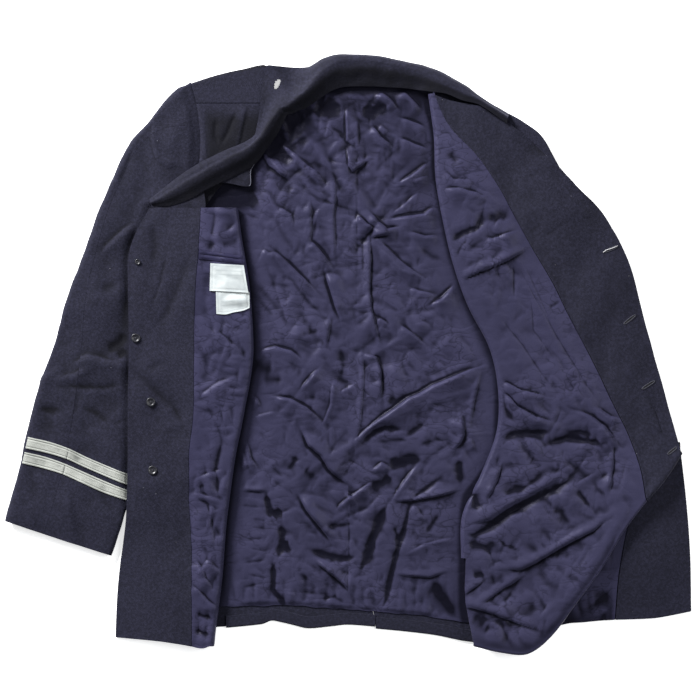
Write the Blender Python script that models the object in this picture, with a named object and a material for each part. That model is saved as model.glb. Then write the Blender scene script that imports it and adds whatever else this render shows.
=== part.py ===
# A fire service dress jacket, laid on its back with both fronts flung open.
#
# Every cloth piece is a thin wall about a sheet of points. A sheet is worked out from a short
# table that has a row for each section across the garment. Places in the tables are read off the
# photograph in its pixels, x to the right and y down, and heights are millimetres over the floor.
# Right and left are the wearer's, so the right front is on the photograph's left.

import bpy
import numpy as np

# Driving dimensions, in millimetres
BACK_LENGTH = 780.0
WOOL = 1.6
SLEEVE_WALL = 1.8
LINING = 1.0
SEAM_GAP = 0.3
FOLD_RADIUS = 4.2
SIDE_RADIUS = 2.3
SLEEVE_HEIGHT = 7.4
PLEAT_INNER_RADIUS = 2.6
PLEAT_OUTER_RADIUS = 3.75
HEM_DEPTH = 16.0
HEM_RADIUS = 1.15
BUTTON_DIAMETER = 12.5
BUTTON_HEIGHT = 2.6
BUTTON_CLEARANCE = 0.35
BRAID_CLEARANCE = 0.35
PATCH_CLEARANCE = 0.4
BRAID_THICKNESS = 1.2
LABEL_THICKNESS = 0.8

# How the photograph maps to the garment
PIXELS_DOWN_THE_BACK = 557.0
PIXEL = BACK_LENGTH / PIXELS_DOWN_THE_BACK
CENTRE_X = 350.465
CENTRE_Y = 352.93

# Heights of the stacked layers' middles, in millimetres over the floor
BACK_Z = WOOL / 2
BACK_LINING_Z = WOOL + SEAM_GAP + LINING / 2
SIDE_Z = BACK_Z + 2 * SIDE_RADIUS
FRONT_Z = SIDE_Z + 2 * FOLD_RADIUS
SHOULDER_Z = 7.2
SHOULDER_RADIUS = (SHOULDER_Z - BACK_Z) / 2
LAPEL_FOOT_Z = SHOULDER_Z + 2.2
LINING_OUT = WOOL / 2 + SEAM_GAP + LINING / 2
FACING_OUT = WOOL + SEAM_GAP
FOLD_OUTER = FOLD_RADIUS + LINING_OUT + LINING / 2

WOOL_COLOUR = (0.030, 0.030, 0.047)
LINING_COLOUR = (0.066, 0.061, 0.130)
BRAID_COLOUR = (0.52, 0.54, 0.52)
LABEL_COLOUR = (0.74, 0.78, 0.78)
BUTTON_COLOUR = (0.012, 0.012, 0.020)


class Table:
    """Rows under named columns, read smoothly along the first column."""

    def __init__(self, columns, rows):
        names = columns.split()
        self.values = dict(zip(names, np.array(rows, dtype=float).T))
        self.steps = self.values[names[0]]

    def at(self, column, step):
        heights = self.values[column]
        gaps = np.diff(self.steps)
        rises = np.diff(heights) / gaps
        slopes = np.zeros_like(heights)
        same_way = rises[:-1] * rises[1:] > 0
        mean = 2 * rises[:-1] * rises[1:] / np.where(same_way, rises[:-1] + rises[1:], 1.0)
        slopes[1:-1] = np.where(same_way, mean, 0.0)
        slopes[0] = rises[0]
        slopes[-1] = rises[-1]
        step = np.clip(step, self.steps[0], self.steps[-1])
        cell = np.clip(np.searchsorted(self.steps, step) - 1, 0, len(gaps) - 1)
        width = gaps[cell]
        t = (step - self.steps[cell]) / width
        start = heights[cell] * (1 + 2 * t) * (1 - t) ** 2 + slopes[cell] * width * t * (1 - t) ** 2
        end = heights[cell + 1] * (3 - 2 * t) * t**2 - slopes[cell + 1] * width * t**2 * (1 - t)
        return start + end


def through(steps, heights, step):
    """The height at a step on a smooth line through a few points."""
    return Table("step height", list(zip(steps, heights))).at("height", step)


def blend(value):
    """Rises smoothly from 0 to 1 as value does."""
    value = np.clip(value, 0.0, 1.0)
    return value * value * (3 - 2 * value)


def point(photo_x, photo_y, height):
    return np.array([(photo_x - CENTRE_X) * PIXEL, (CENTRE_Y - photo_y) * PIXEL, height])


# Walls

def material(name, colour, roughness):
    made = bpy.data.materials.new(name)
    made.use_nodes = True
    shader = made.node_tree.nodes["Principled BSDF"]
    shader.inputs["Base Color"].default_value = (*colour, 1.0)
    shader.inputs["Roughness"].default_value = roughness
    shader.inputs["Metallic"].default_value = 0.0
    return made


def cell_corners(row, column):
    return (row, column), (row, column + 1), (row + 1, column + 1), (row + 1, column)


def sheet_normals(points, cells):
    """The unit normal at each point of a sheet, from the cells that are there."""
    normals = np.zeros_like(points)
    for row, column in np.argwhere(cells):
        corners = cell_corners(row, column)
        a, b, c, d = (points[corner] for corner in corners)
        face = np.cross(c - a, d - b)
        for corner in corners:
            normals[corner] += face
    lengths = np.linalg.norm(normals, axis=2, keepdims=True)
    return normals / np.where(lengths > 0, lengths, 1.0)


def wall(name, points, cells, normals, thickness, out, cloth):
    """A closed wall of even thickness, its middle moved out from a sheet along its normals."""
    top = points + normals * (out + thickness / 2)
    bottom = points + normals * (out - thickness / 2)
    numbers = {}
    vertices = []
    faces = []

    def vertex(side, corner):
        key = (side, *corner)
        if key not in numbers:
            numbers[key] = len(vertices)
            vertices.append(tuple((top if side else bottom)[corner] / 1000))
        return numbers[key]

    edges = set()
    for row, column in np.argwhere(cells):
        a, b, c, d = cell_corners(row, column)
        for triangle in ((a, b, c), (a, c, d)):
            faces.append([vertex(1, corner) for corner in triangle])
            faces.append([vertex(0, corner) for corner in reversed(triangle)])
        edges.update(((a, b), (b, c), (c, d), (d, a)))
    for a, b in sorted(edges):
        if (b, a) not in edges:
            faces.append([vertex(1, b), vertex(1, a), vertex(0, a)])
            faces.append([vertex(1, b), vertex(0, a), vertex(0, b)])
    mesh = bpy.data.meshes.new(name)
    mesh.from_pydata(vertices, [], faces)
    mesh.materials.append(cloth)
    mesh.update()
    made = bpy.data.objects.new(name, mesh)
    bpy.context.scene.collection.objects.link(made)
    return made


class Sheet:
    """A grid of points, the cells of it that are cloth, and its normals."""

    def __init__(self, points, cells=None):
        self.points = np.array(points, dtype=float)
        rows, columns = self.points.shape[:2]
        self.cells = np.ones((rows - 1, columns - 1), bool) if cells is None else cells
        self.normals = sheet_normals(self.points, self.cells)

    def wall(self, name, thickness, cloth, out=0.0, first=0, last=None, trim_first=0.0, trim_last=0.0):
        """A wall on the columns from first to last, drawn in by a trim at either side."""
        columns = slice(first, None if last is None else last + 1)
        cell_columns = slice(first, last)
        points = self.points[:, columns].copy()
        points[:, 0] += step_towards(points[:, 0], points[:, 1], trim_first)
        points[:, -1] += step_towards(points[:, -1], points[:, -2], trim_last)
        return wall(name, points, self.cells[:, cell_columns], self.normals[:, columns],
                    thickness, out, cloth)


def step_towards(start, end, distance):
    way = end - start
    lengths = np.linalg.norm(way, axis=-1, keepdims=True)
    return way / np.where(lengths > 0, lengths, 1.0) * distance


def half_turn(radius, count):
    """Sideways and upward steps round a fold, from its lower leg to its upper one."""
    angles = np.linspace(0, np.pi, count + 1)
    return [(radius * np.sin(angle), radius * (1 - np.cos(angle))) for angle in angles]


# Lines that several pieces share

def armhole_right(photo_y):
    """The armhole seam of the right side, as the photograph's x."""
    w = np.clip((photo_y - 86) / 146, 0, 1)
    return 191 - 15 * w + 62 * w * (1 - w)


def armhole_left(photo_y):
    w = np.clip((photo_y - 113) / 121, 0, 1)
    return 508 + 16 * w - 32 * w * (1 - w)


SIDE_LINES = Table("photo_y right_x left_x", [
    (232, 177, 524), (248, 171, 529), (272, 166, 534), (300, 164, 538), (345, 160.5, 542.5),
    (390, 157, 546.5), (437, 152, 551), (480, 149, 554.5), (560, 149, 558), (645, 149, 560)])


def side_right(photo_y):
    return armhole_right(photo_y) if photo_y < 232 else SIDE_LINES.at("right_x", photo_y)


def side_left(photo_y):
    return armhole_left(photo_y) if photo_y < 234 else SIDE_LINES.at("left_x", photo_y)


ARMHOLE_ROWS = (117, 134, 151, 168, 185, 203, 220)
SIDE_ROWS = (236, 268, 300, 345, 392, 437, 480, 560, 612)
SIDE_REACH = (SIDE_RADIUS + WOOL / 2 + 4 * SEAM_GAP) / PIXEL
ARMHOLE_REACH = 0.55
LINING_INSET = 4.0


def back_edge_right(photo_y):
    """Where the right back's cut edge lies: at the armhole, then inside the side seam's turn."""
    return side_right(photo_y) + (SIDE_REACH if photo_y > 232 else ARMHOLE_REACH)


def back_edge_left(photo_y):
    return side_left(photo_y) - (SIDE_REACH if photo_y > 234 else ARMHOLE_REACH)


CENTRE_SEAM = Table("photo_y x", [
    (60, 348), (470, 348), (500, 351), (560, 361), (600, 371), (630, 376)])
RIGHT_TOP = Table("across photo_y", [
    (0, 83), (0.16, 75), (0.33, 69), (0.49, 66.5), (0.535, 99), (0.58, 97), (0.63, 80),
    (0.7, 73), (0.8, 64), (0.88, 58.5), (1, 55.3)])
LEFT_TOP = Table("x photo_y", [
    (348, 55), (371, 55.7), (389, 58.7), (410, 63), (436, 70.6), (466, 87.1), (482, 98.6), (508, 114)])
RIGHT_HEM = Table("x photo_y", [
    (149, 634), (190, 630), (217, 628), (249, 629), (270, 621), (291, 625), (312, 629),
    (346, 625), (376, 627)])
LEFT_HEM = Table("x photo_y", [
    (376, 629), (417, 633), (458, 639), (484, 645), (510, 642), (560, 632)])


# The back

def add_back(wool):
    """Two halves flat on the floor, turned up at the hem, the right one also over the shoulder."""
    seam_half = SEAM_GAP / 2 / PIXEL
    over_rows = (102.5, 93.0, 87.5)
    over_columns = 3
    columns_under_the_front = 2
    shoulder_turn = half_turn(SHOULDER_RADIUS, 4)
    hem_turn = half_turn(HEM_RADIUS, 4)

    columns = []
    for across in RIGHT_TOP.steps:
        top_y = RIGHT_TOP.at("photo_y", across)
        hem_x = 149 + (376 - 149) * across
        hem_y = RIGHT_HEM.at("photo_y", hem_x)

        def back_x(photo_y):
            left = back_edge_right(photo_y)
            return left + (CENTRE_SEAM.at("x", photo_y) - seam_half - left) * across

        column = []
        for photo_y in over_rows:
            column.append(point(back_x(photo_y), photo_y, SHOULDER_Z))
        for out, up in reversed(shoulder_turn):
            column.append(point(back_x(top_y), top_y + (SHOULDER_RADIUS - out) / PIXEL, BACK_Z + up))
        for photo_y in (*ARMHOLE_ROWS, *SIDE_ROWS, hem_y - HEM_RADIUS / PIXEL):
            column.append(point(back_x(photo_y), photo_y, BACK_Z))
        for out, up in hem_turn[1:]:
            column.append(point(back_x(hem_y), hem_y + (out - HEM_RADIUS) / PIXEL, BACK_Z + up))
        column.append(point(back_x(hem_y), hem_y - HEM_DEPTH / PIXEL, BACK_Z + 2 * HEM_RADIUS))
        columns.append(column)
    points = np.array(columns).transpose(1, 0, 2)[:, ::-1]
    cells = np.ones((points.shape[0] - 1, points.shape[1] - 1), bool)
    turned_rows = len(over_rows) - 1 + len(shoulder_turn)
    cells[:turned_rows, :-over_columns] = False
    cells[-len(hem_turn):, -columns_under_the_front:] = False
    Sheet(points, cells).wall("back_right", WOOL, wool)

    columns = []
    for across in np.linspace(0, 1, 7):
        top_x = 348 + (508 - 348) * across
        top_y = LEFT_TOP.at("photo_y", top_x)
        hem_x = 376 + (560 - 376) * across
        hem_y = LEFT_HEM.at("photo_y", hem_x)

        def back_x(photo_y):
            start = CENTRE_SEAM.at("x", photo_y) + seam_half
            return start + (back_edge_left(photo_y) - start) * across

        column = []
        for photo_y in (top_y, *ARMHOLE_ROWS[1:], *SIDE_ROWS, hem_y - HEM_RADIUS / PIXEL):
            column.append(point(back_x(photo_y), photo_y, BACK_Z))
        for out, up in hem_turn[1:]:
            column.append(point(back_x(hem_y), hem_y + (out - HEM_RADIUS) / PIXEL, BACK_Z + up))
        column.append(point(back_x(hem_y), hem_y - HEM_DEPTH / PIXEL, BACK_Z + 2 * HEM_RADIUS))
        columns.append(column)
    points = np.array(columns).transpose(1, 0, 2)[:, ::-1]
    Sheet(points).wall("back_left", WOOL, wool)


# The back lining and its folds

LINING_FOLDS = Table("x0 y0 x1 y1 width height", [
    (258, 232, 303, 286, 11, 8), (252, 290, 276, 318, 9, 6), (289, 262, 322, 300, 10, 6),
    (312, 228, 342, 322, 10, 7), (333, 150, 337, 262, 10, 8), (372, 120, 402, 152, 10, 7),
    (398, 148, 436, 150, 9, 5), (384, 236, 352, 208, 10, 8), (379, 226, 428, 176, 12, 8),
    (380, 250, 430, 282, 11, 7), (384, 312, 426, 344, 12, 8), (410, 286, 440, 300, 9, 5),
    (434, 306, 458, 282, 10, 6), (478, 362, 400, 404, 15, 10), (400, 404, 354, 446, 13, 10),
    (478, 390, 468, 442, 10, 5), (300, 436, 352, 482, 15, 10), (296, 494, 336, 546, 13, 8),
    (308, 548, 366, 562, 13, 11), (366, 240, 376, 420, 11, 5), (400, 500, 376, 600, 14, 6),
    (412, 500, 458, 492, 10, 8), (438, 512, 452, 596, 14, 6), (282, 300, 262, 470, 16, 6),
    (276, 500, 290, 596, 12, 8), (322, 350, 300, 420, 14, 5), (440, 330, 428, 380, 12, 5)])
LINING_SEAM = 348.0


def lining_folds(photo_x, photo_y):
    """The height of the folds over the lining's own flat middle, from their ridges."""
    rows = LINING_FOLDS.values
    height = np.zeros(np.broadcast(photo_x, photo_y).shape)
    for x0, y0, x1, y1, width, peak in zip(*rows.values()):
        along_x, along_y = x1 - x0, y1 - y0
        length = np.hypot(along_x, along_y)
        part = ((photo_x - x0) * along_x + (photo_y - y0) * along_y) / length**2
        near = np.clip(part, 0, 1)
        away = np.hypot(photo_x - x0 - near * along_x, photo_y - y0 - near * along_y)
        height = np.maximum(height, peak * blend(1 - away / (width * 1.3)))
    return height


def lining_room(photo_x, photo_y):
    """1 where the lining lies open, falling to 0 where the fronts cover it."""
    from_right = (photo_x - fold_right(photo_y) - 6) / 12
    from_left = (fold_left(photo_y) - 6 - photo_x) / 12
    from_neck = (photo_y - 112) / 16
    from_hem = (604 - photo_y) / 14
    return blend(np.minimum(np.minimum(from_right, from_left), np.minimum(from_neck, from_hem)))


LINING_HEM = Table("x photo_y", [
    (160, 612), (276, 606), (346, 610), (372, 612), (417, 616), (458, 622), (497, 624), (550, 612)])
LINING_TOP = Table("x photo_y", [
    (196, 118), (262, 112), (318, 96), (348, 91), (388, 91), (434, 104), (508, 128)])


def lining_point(photo_x, photo_y):
    height = BACK_LINING_Z + lining_folds(photo_x, photo_y) * lining_room(photo_x, photo_y)
    return point(photo_x, photo_y, float(height))


def add_back_lining(satin):
    """Two halves on the wool, meeting at the centre seam, with the largest folds standing up."""
    row_count = 28
    right_stations = (0, 0.16, 0.3, 0.4, 0.47, 0.54, 0.61, 0.68, 0.74, 0.8, 0.86, 0.92, 0.97, 1)
    left_stations = (
        0, 0.03, 0.09, 0.15, 0.21, 0.27, 0.33, 0.39, 0.45, 0.51, 0.57, 0.64, 0.74, 0.87, 1)
    for name, stations, side in (("right", right_stations, -1), ("left", left_stations, 1)):
        columns = []
        for across in stations:
            if side < 0:
                top_x = 200 + (LINING_SEAM - 200) * across
                hem_x = 156 + (LINING_SEAM - 156) * across
            else:
                top_x = LINING_SEAM + (500 - LINING_SEAM) * across
                hem_x = LINING_SEAM + (550 - LINING_SEAM) * across
            top_y = LINING_TOP.at("photo_y", top_x)
            hem_y = LINING_HEM.at("photo_y", hem_x)
            column = []
            for part in np.linspace(0, 1, row_count):
                photo_y = top_y + (hem_y - top_y) * part
                if side < 0:
                    start = side_right(photo_y) + LINING_INSET
                    end = LINING_SEAM - SEAM_GAP / PIXEL
                else:
                    start = LINING_SEAM
                    end = side_left(photo_y) - LINING_INSET
                column.append(lining_point(start + (end - start) * across, photo_y))
            columns.append(column)
        points = np.array(columns).transpose(1, 0, 2)[:, ::-1]
        Sheet(points).wall("back_lining_" + name, LINING, satin)


# The side panels

def return_x(edge, photo_y):
    """The photograph's x of a front's hidden edge, from the points along that edge."""
    photo_xs = edge[:, 0] / PIXEL + CENTRE_X
    photo_ys = CENTRE_Y - edge[:, 1] / PIXEL
    order = np.argsort(photo_ys)
    return np.interp(photo_y, photo_ys[order], photo_xs[order])


def add_side_panels(wool, right_return, left_return):
    """Each turns up from the back's side seam and lies, outer side up, over the back's edge."""
    turn = half_turn(SIDE_RADIUS, 5)
    gap = 1.0
    for name, side, way, edge in (("right", side_right, 1, right_return),
                                  ("left", side_left, -1, left_return)):
        rows = []
        edge_ys = np.sort(CENTRE_Y - edge[:, 1] / PIXEL)
        between = edge_ys[(edge_ys > SIDE_ROWS[0] + 4) & (edge_ys < SIDE_ROWS[-1] - 4)]
        for photo_y in (SIDE_ROWS[0], *between, SIDE_ROWS[-1]):
            seam_x = side(photo_y) + way * (SIDE_RADIUS + WOOL / 2) / PIXEL
            inner_x = return_x(edge, photo_y) - way * gap
            row = [point(seam_x - way * out / PIXEL, photo_y, BACK_Z + up) for out, up in turn]
            for part in (0.33, 0.66, 1.0):
                row.append(point(seam_x + (inner_x - seam_x) * part, photo_y, SIDE_Z))
            rows.append(row)
        points = np.array(rows) if way > 0 else np.array(rows)[::-1, ::-1]
        Sheet(points).wall("side_panel_" + name, WOOL, wool)


# The right front

RETURN_LENGTH = 32.0
FRONT_RIGHT = Table("photo_y edge_x edge_z middle_x middle_z seam_x fold_x", [
    (208, 150, 10.6, 172, 12.0, 201, 238), (225, 140, 10.2, 170, 11.6, 200, 240),
    (245, 131, 10.0, 168, 11.2, 199, 243), (262, 128, 10.0, 165, 11.2, 197.5, 246),
    (300, 128.5, 10.0, 165, 11.6, 195, 251), (350, 129, 10.0, 163, 11.6, 194, 253.5),
    (409, 128, 10.4, 162, 11.8, 194, 245), (457, 128, 10.8, 160, 11.8, 189, 235.5),
    (500, 127, 10.6, 158, 11.6, 189, 229.5), (520, 126, 9.2, 155, 10.6, 190.5, 227),
    (544, 123, 5.0, 153, 9.4, 192, 225), (582, 118, 1.8, 152, 9.0, 192, 222),
    (616, 116, 1.4, 151, 8.8, 192, 217.5), (648, 115, 1.3, 151, 8.8, 192, 214)])
FRONT_RIGHT_HEM = Table("x photo_y", [(115, 638), (157, 641), (186, 645), (205, 648), (216, 645)])


def fold_right(photo_y):
    return FRONT_RIGHT.at("fold_x", photo_y)


def front_right_height(photo_x, photo_y):
    """The height of the right front's wool where it lies with its inside up."""
    row = {name: FRONT_RIGHT.at(name, photo_y) for name in FRONT_RIGHT.values}
    flat_end = row["fold_x"] - 5
    return through((row["edge_x"], row["middle_x"], row["seam_x"], flat_end),
                   (row["edge_z"], row["middle_z"], FRONT_Z - 0.6, FRONT_Z), photo_x)


def front_right_sheet():
    turn = half_turn(FOLD_RADIUS, 6)
    stations = [(0, across) for across in (0, 0.2, 0.4, 0.6, 0.8, 1)]
    stations += [(1, across) for across in (0.25, 0.5, 0.75, 1)]
    rows = []
    for part in np.linspace(0, 1, 19):
        points = []
        for zone, across in stations:
            hem_y = FRONT_RIGHT_HEM.at("photo_y", 115 + 77 * across if zone == 0 else 192 + 22 * across)
            photo_y = 208 + (hem_y - 208) * part
            edge_x = FRONT_RIGHT.at("edge_x", photo_y)
            seam_x = FRONT_RIGHT.at("seam_x", photo_y)
            flat_x = fold_right(photo_y) - FOLD_OUTER / PIXEL
            start, end = (edge_x, seam_x) if zone == 0 else (seam_x, flat_x)
            photo_x = start + (end - start) * across
            points.append(point(photo_x, photo_y, front_right_height(photo_x, photo_y)))
        points[-1][2] = FRONT_Z
        flat_x = fold_right(photo_y) - FOLD_OUTER / PIXEL
        for out, up in reversed(turn[:-1]):
            points.append(point(flat_x + out / PIXEL, photo_y, SIDE_Z + up))
        for back in (0.5, 1):
            end_x = fold_right(photo_y) - RETURN_LENGTH
            points.append(point(flat_x + (end_x - flat_x) * back, photo_y, SIDE_Z))
        rows.append(points)
    return Sheet(np.array(rows)[::-1])


FACING_COLUMNS = 5


def add_front_right(front, wool, satin):
    front.wall("front_right", WOOL, wool)
    front.wall("facing_right", WOOL, wool, out=FACING_OUT, last=FACING_COLUMNS,
               trim_last=SEAM_GAP / 2)
    front.wall("front_lining_right", LINING, satin, out=LINING_OUT, first=FACING_COLUMNS,
               trim_first=SEAM_GAP / 2)


def right_patch(corner_rows, out):
    """A sheet on the right front's inside, from rows of the photograph's places."""
    rows = []
    for row in corner_rows:
        rows.append([point(x, y, front_right_height(x, y) + out) for x, y in row])
    return Sheet(np.array(rows)[::-1])


def straight_patch(left_top, right_top, left_bottom, right_bottom, rows, columns):
    """Rows of places inside four corners."""
    corners = [np.array(corner, float) for corner in (left_top, right_top, left_bottom, right_bottom)]
    made = []
    for down in np.linspace(0, 1, rows + 1):
        left = corners[0] + (corners[2] - corners[0]) * down
        right = corners[1] + (corners[3] - corners[1]) * down
        made.append([left + (right - left) * across for across in np.linspace(0, 1, columns + 1)])
    return made


def add_labels_and_pocket(label, satin):
    on_lining = LINING_OUT + LINING / 2 + PATCH_CLEARANCE
    pocket = straight_patch((200.5, 250), (241, 255), (200, 259.5), (241, 262.5), 1, 6)
    right_patch(pocket, on_lining + LINING / 2).wall("inside_pocket", LINING, satin)
    upper = straight_patch((211, 265.5), (242, 266.5), (211, 290.5), (242, 291.5), 3, 4)
    right_patch(upper, on_lining + LABEL_THICKNESS / 2).wall("label_upper", LABEL_THICKNESS, label)
    lower = straight_patch((216.5, 293), (242, 294), (218, 315), (244, 310), 3, 4)
    right_patch(lower, on_lining + LABEL_THICKNESS / 2).wall("label_lower", LABEL_THICKNESS, label)


BUTTON_PLACES = Table("number x y", [(1, 138, 262), (2, 136, 338), (3, 151, 402), (4, 153, 470)])


def add_buttons(plastic):
    """Low round buttons on the facing, each lying along it."""
    bottom = FACING_OUT + WOOL / 2 + BUTTON_CLEARANCE
    sides = 16
    outline = ((0.85, 0.0), (1.0, 0.25), (1.0, 0.75), (0.85, 1.0))
    for number, x, y in zip(*BUTTON_PLACES.values.values()):

        def spot(radius, height, angle):
            reach = radius * BUTTON_DIAMETER / 2 / PIXEL
            place_x, place_y = x + reach * np.cos(angle), y - reach * np.sin(angle)
            base = front_right_height(place_x, place_y) + bottom
            return tuple(point(place_x, place_y, base + height * BUTTON_HEIGHT) / 1000)

        angles = np.linspace(0, 2 * np.pi, sides, endpoint=False)
        vertices = [spot(0, 0, 0)]
        vertices += [spot(radius, height, angle) for radius, height in outline for angle in angles]
        vertices.append(spot(0, 1, 0))
        faces = []
        for k in range(sides):
            after = (k + 1) % sides
            faces.append((0, 1 + after, 1 + k))
            for ring in range(len(outline) - 1):
                low, high = 1 + ring * sides, 1 + (ring + 1) * sides
                faces.append((low + k, low + after, high + after, high + k))
            top = 1 + (len(outline) - 1) * sides
            faces.append((top + k, top + after, len(vertices) - 1))
        mesh = bpy.data.meshes.new(f"button_{number:.0f}")
        mesh.from_pydata(vertices, [], faces)
        mesh.materials.append(plastic)
        made = bpy.data.objects.new(mesh.name, mesh)
        bpy.context.scene.collection.objects.link(made)


# The left front

FRONT_LEFT = Table("photo_y fold_x seam_x edge_x", [
    (95, 428, 434, 488), (110, 428, 437, 500), (121, 431, 444, 510), (141, 434, 465, 531),
    (157, 434, 478, 549), (175, 435, 491, 565), (186, 437, 498, 577), (198, 439, 505, 589),
    (210, 441, 511, 601), (222, 443, 518, 609), (246, 448, 531, 622), (270, 455, 546, 632),
    (306, 468, 564, 642), (342, 487, 583, 651), (378, 498, 601, 661), (420, 497, 621, 672),
    (450, 495, 635, 680), (474, 481, 641, 682), (500, 464, 645, 684), (540, 461, 650, 687),
    (600, 461, 655, 690), (650, 470, 660, 692)])
# Heights of the left front's wool at its fold, over the side seam, over the sleeve's outer edge
# and at the front edge, on what lies under it
LEFT_REST = Table("photo_y fold_z side_z out_x out_z edge_z", [
    (95, 13.8, 12.4, 470, 11.6, 10.4), (141, 13.8, 11.8, 528, 10.6, 10.2),
    (175, 13.8, 11.4, 560, 10.2, 10.0), (190, 13.8, 11.2, 569, 10.2, 8.0),
    (215, 13.8, 11.2, 579, 10.2, 2.4), (250, 13.8, 11.2, 590, 10.4, 1.4),
    (300, 13.8, 11.4, 602, 10.4, 1.3), (420, 13.8, 11.4, 630, 10.4, 1.3),
    (520, 13.8, 11.4, 653, 10.4, 1.3), (565, 13.8, 11.2, 660, 10.2, 1.3),
    (590, 11.6, 10.8, 650, 10.0, 1.3), (604, 9.8, 9.8, 598, 7.6, 1.3),
    (616, 8.8, 8.8, 592, 2.0, 1.3), (660, 8.8, 8.8, 590, 1.6, 1.3)])
LEFT_TOP_EDGE = Table("across photo_y", [
    (0, 96), (0.1, 94.5), (0.3, 100), (0.5, 105), (0.8, 114), (0.9, 122), (1, 142)])
# The pleat across the lower corner: where its edge shows, how deep it turns under and the hem
LEFT_PLEAT = Table("across edge_y depth hem_y hem_x", [
    (0, 643, 10, 634, 470), (0.1, 648, 14, 634, 490), (0.2, 653, 18, 636, 512),
    (0.3, 649, 20, 634, 533), (0.36, 636, 21, 630, 544), (0.43, 624, 22, 624, 558),
    (0.5, 600, 24, 623.5, 570), (0.6, 570, 26, 622.5, 584), (0.7, 534, 26, 621.5, 597),
    (0.8, 505, 26, 620.5, 610), (0.9, 480, 25, 619, 651), (1, 453, 22, 612, 692)])
PLEAT_LIFT = 2 * PLEAT_OUTER_RADIUS + 2 * PLEAT_INNER_RADIUS


def fold_left(photo_y):
    return FRONT_LEFT.at("fold_x", photo_y)


def rest_height(photo_x, photo_y):
    """The height of the left front's wool on what lies under it."""
    row = {name: LEFT_REST.at(name, photo_y) for name in LEFT_REST.values}
    fold_x = fold_left(photo_y) + 5
    edge_x = FRONT_LEFT.at("edge_x", photo_y)
    side_x = fold_x + 0.55 * (row["out_x"] - fold_x)
    return through((fold_x, side_x, row["out_x"], edge_x),
                   (row["fold_z"], row["side_z"], row["out_z"], row["edge_z"]), photo_x)


def left_across(zone, across, photo_y):
    fold_x = fold_left(photo_y) + FOLD_OUTER / PIXEL
    seam_x = FRONT_LEFT.at("seam_x", photo_y)
    edge_x = FRONT_LEFT.at("edge_x", photo_y)
    start, end = (fold_x, seam_x) if zone == 0 else (seam_x, edge_x)
    return start + (end - start) * across


def left_pleat_row(zone, across):
    """Where a column of the left front meets the pleat's edge, found along the column."""
    low, high = 300.0, 660.0
    for _ in range(40):
        photo_y = (low + high) / 2
        x = left_across(zone, across, photo_y)
        share = (x - fold_left(photo_y)) / (FRONT_LEFT.at("edge_x", photo_y) - fold_left(photo_y))
        if LEFT_PLEAT.at("edge_y", share) > photo_y:
            low = photo_y
        else:
            high = photo_y
    return photo_y, share


def left_column(zone, across):
    """One column, from the collar to the hem, through both turns of the pleat."""
    pleat_y, share = left_pleat_row(zone, across)
    top_share = {0: across * 0.25, 1: 0.25 + across * 0.75}[zone]
    top_y = LEFT_TOP_EDGE.at("photo_y", top_share)
    depth = LEFT_PLEAT.at("depth", share)
    hem_y = LEFT_PLEAT.at("hem_y", share)
    hem_x = LEFT_PLEAT.at("hem_x", share)
    edge_x = left_across(zone, across, pleat_y)
    column = []
    inner = PLEAT_INNER_RADIUS / PIXEL
    outer = PLEAT_OUTER_RADIUS / PIXEL
    for part in np.linspace(0, 1, UPPER_ROWS):
        photo_y = top_y + (pleat_y - inner - top_y) * part
        x = left_across(zone, across, photo_y)
        lift = PLEAT_LIFT * blend(1 - (pleat_y - inner - photo_y) / 64)
        column.append(point(x, photo_y, rest_height(x, photo_y) + lift))
    ground = rest_height(edge_x, pleat_y - inner)
    for angle in np.radians((60, 120, 180)):
        column.append(point(edge_x, pleat_y - inner + inner * np.sin(angle),
                            ground + PLEAT_LIFT - PLEAT_INNER_RADIUS * (1 - np.cos(angle))))
    back_y = pleat_y - depth
    middle = ground + 2 * PLEAT_OUTER_RADIUS
    column.append(point(edge_x, (pleat_y + back_y) / 2, middle))
    for angle in np.radians((0, 60, 120, 180)):
        column.append(point(edge_x, back_y - outer * np.sin(angle),
                            middle - PLEAT_OUTER_RADIUS * (1 - np.cos(angle))))
    for part in (0.33, 0.66, 1):
        photo_y = back_y + (hem_y - back_y) * part
        x = edge_x + (hem_x - edge_x) * (1 - (1 - part)**2)
        low = rest_height(x, photo_y)
        column.append(point(x, photo_y, ground + (low - ground) * blend(part)))
    return column


LINING_COLUMNS = 7
UPPER_ROWS = 14
LAST_WRAPPED_ROW = 11


def left_sheet():
    turn = half_turn(FOLD_RADIUS, 6)
    columns = [left_column(0, across) for across in np.linspace(0, 1, LINING_COLUMNS + 1)]
    columns += [left_column(1, across) for across in (0.2, 0.4, 0.6, 0.8, 1)]
    first = columns[0]
    turned = []
    for out, up in turn[:-1]:
        turned.append([near + np.array([-out, 0, up - 2 * FOLD_RADIUS]) for near in first])
    under = []
    for back in (1, 0.5):
        shift = (RETURN_LENGTH * PIXEL - FOLD_OUTER) * back
        under.append([near + np.array([shift, 0, -2 * FOLD_RADIUS]) for near in first])
    points = np.array(under + turned + columns).transpose(1, 0, 2)
    cells = np.ones((points.shape[0] - 1, points.shape[1] - 1), bool)
    wrapped = len(under) + len(turned)
    cells[LAST_WRAPPED_ROW:, :wrapped] = False
    return Sheet(points[::-1], cells[::-1]), wrapped


def add_front_left(front, wrapped, wool, satin):
    seam = wrapped + LINING_COLUMNS
    front.wall("front_left", WOOL, wool)
    front.wall("front_lining_left", LINING, satin, out=LINING_OUT, last=seam, trim_last=5 * SEAM_GAP)
    front.wall("facing_left", WOOL, wool, out=FACING_OUT, first=seam, trim_first=SEAM_GAP)


# The shoulders, outer side up

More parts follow.
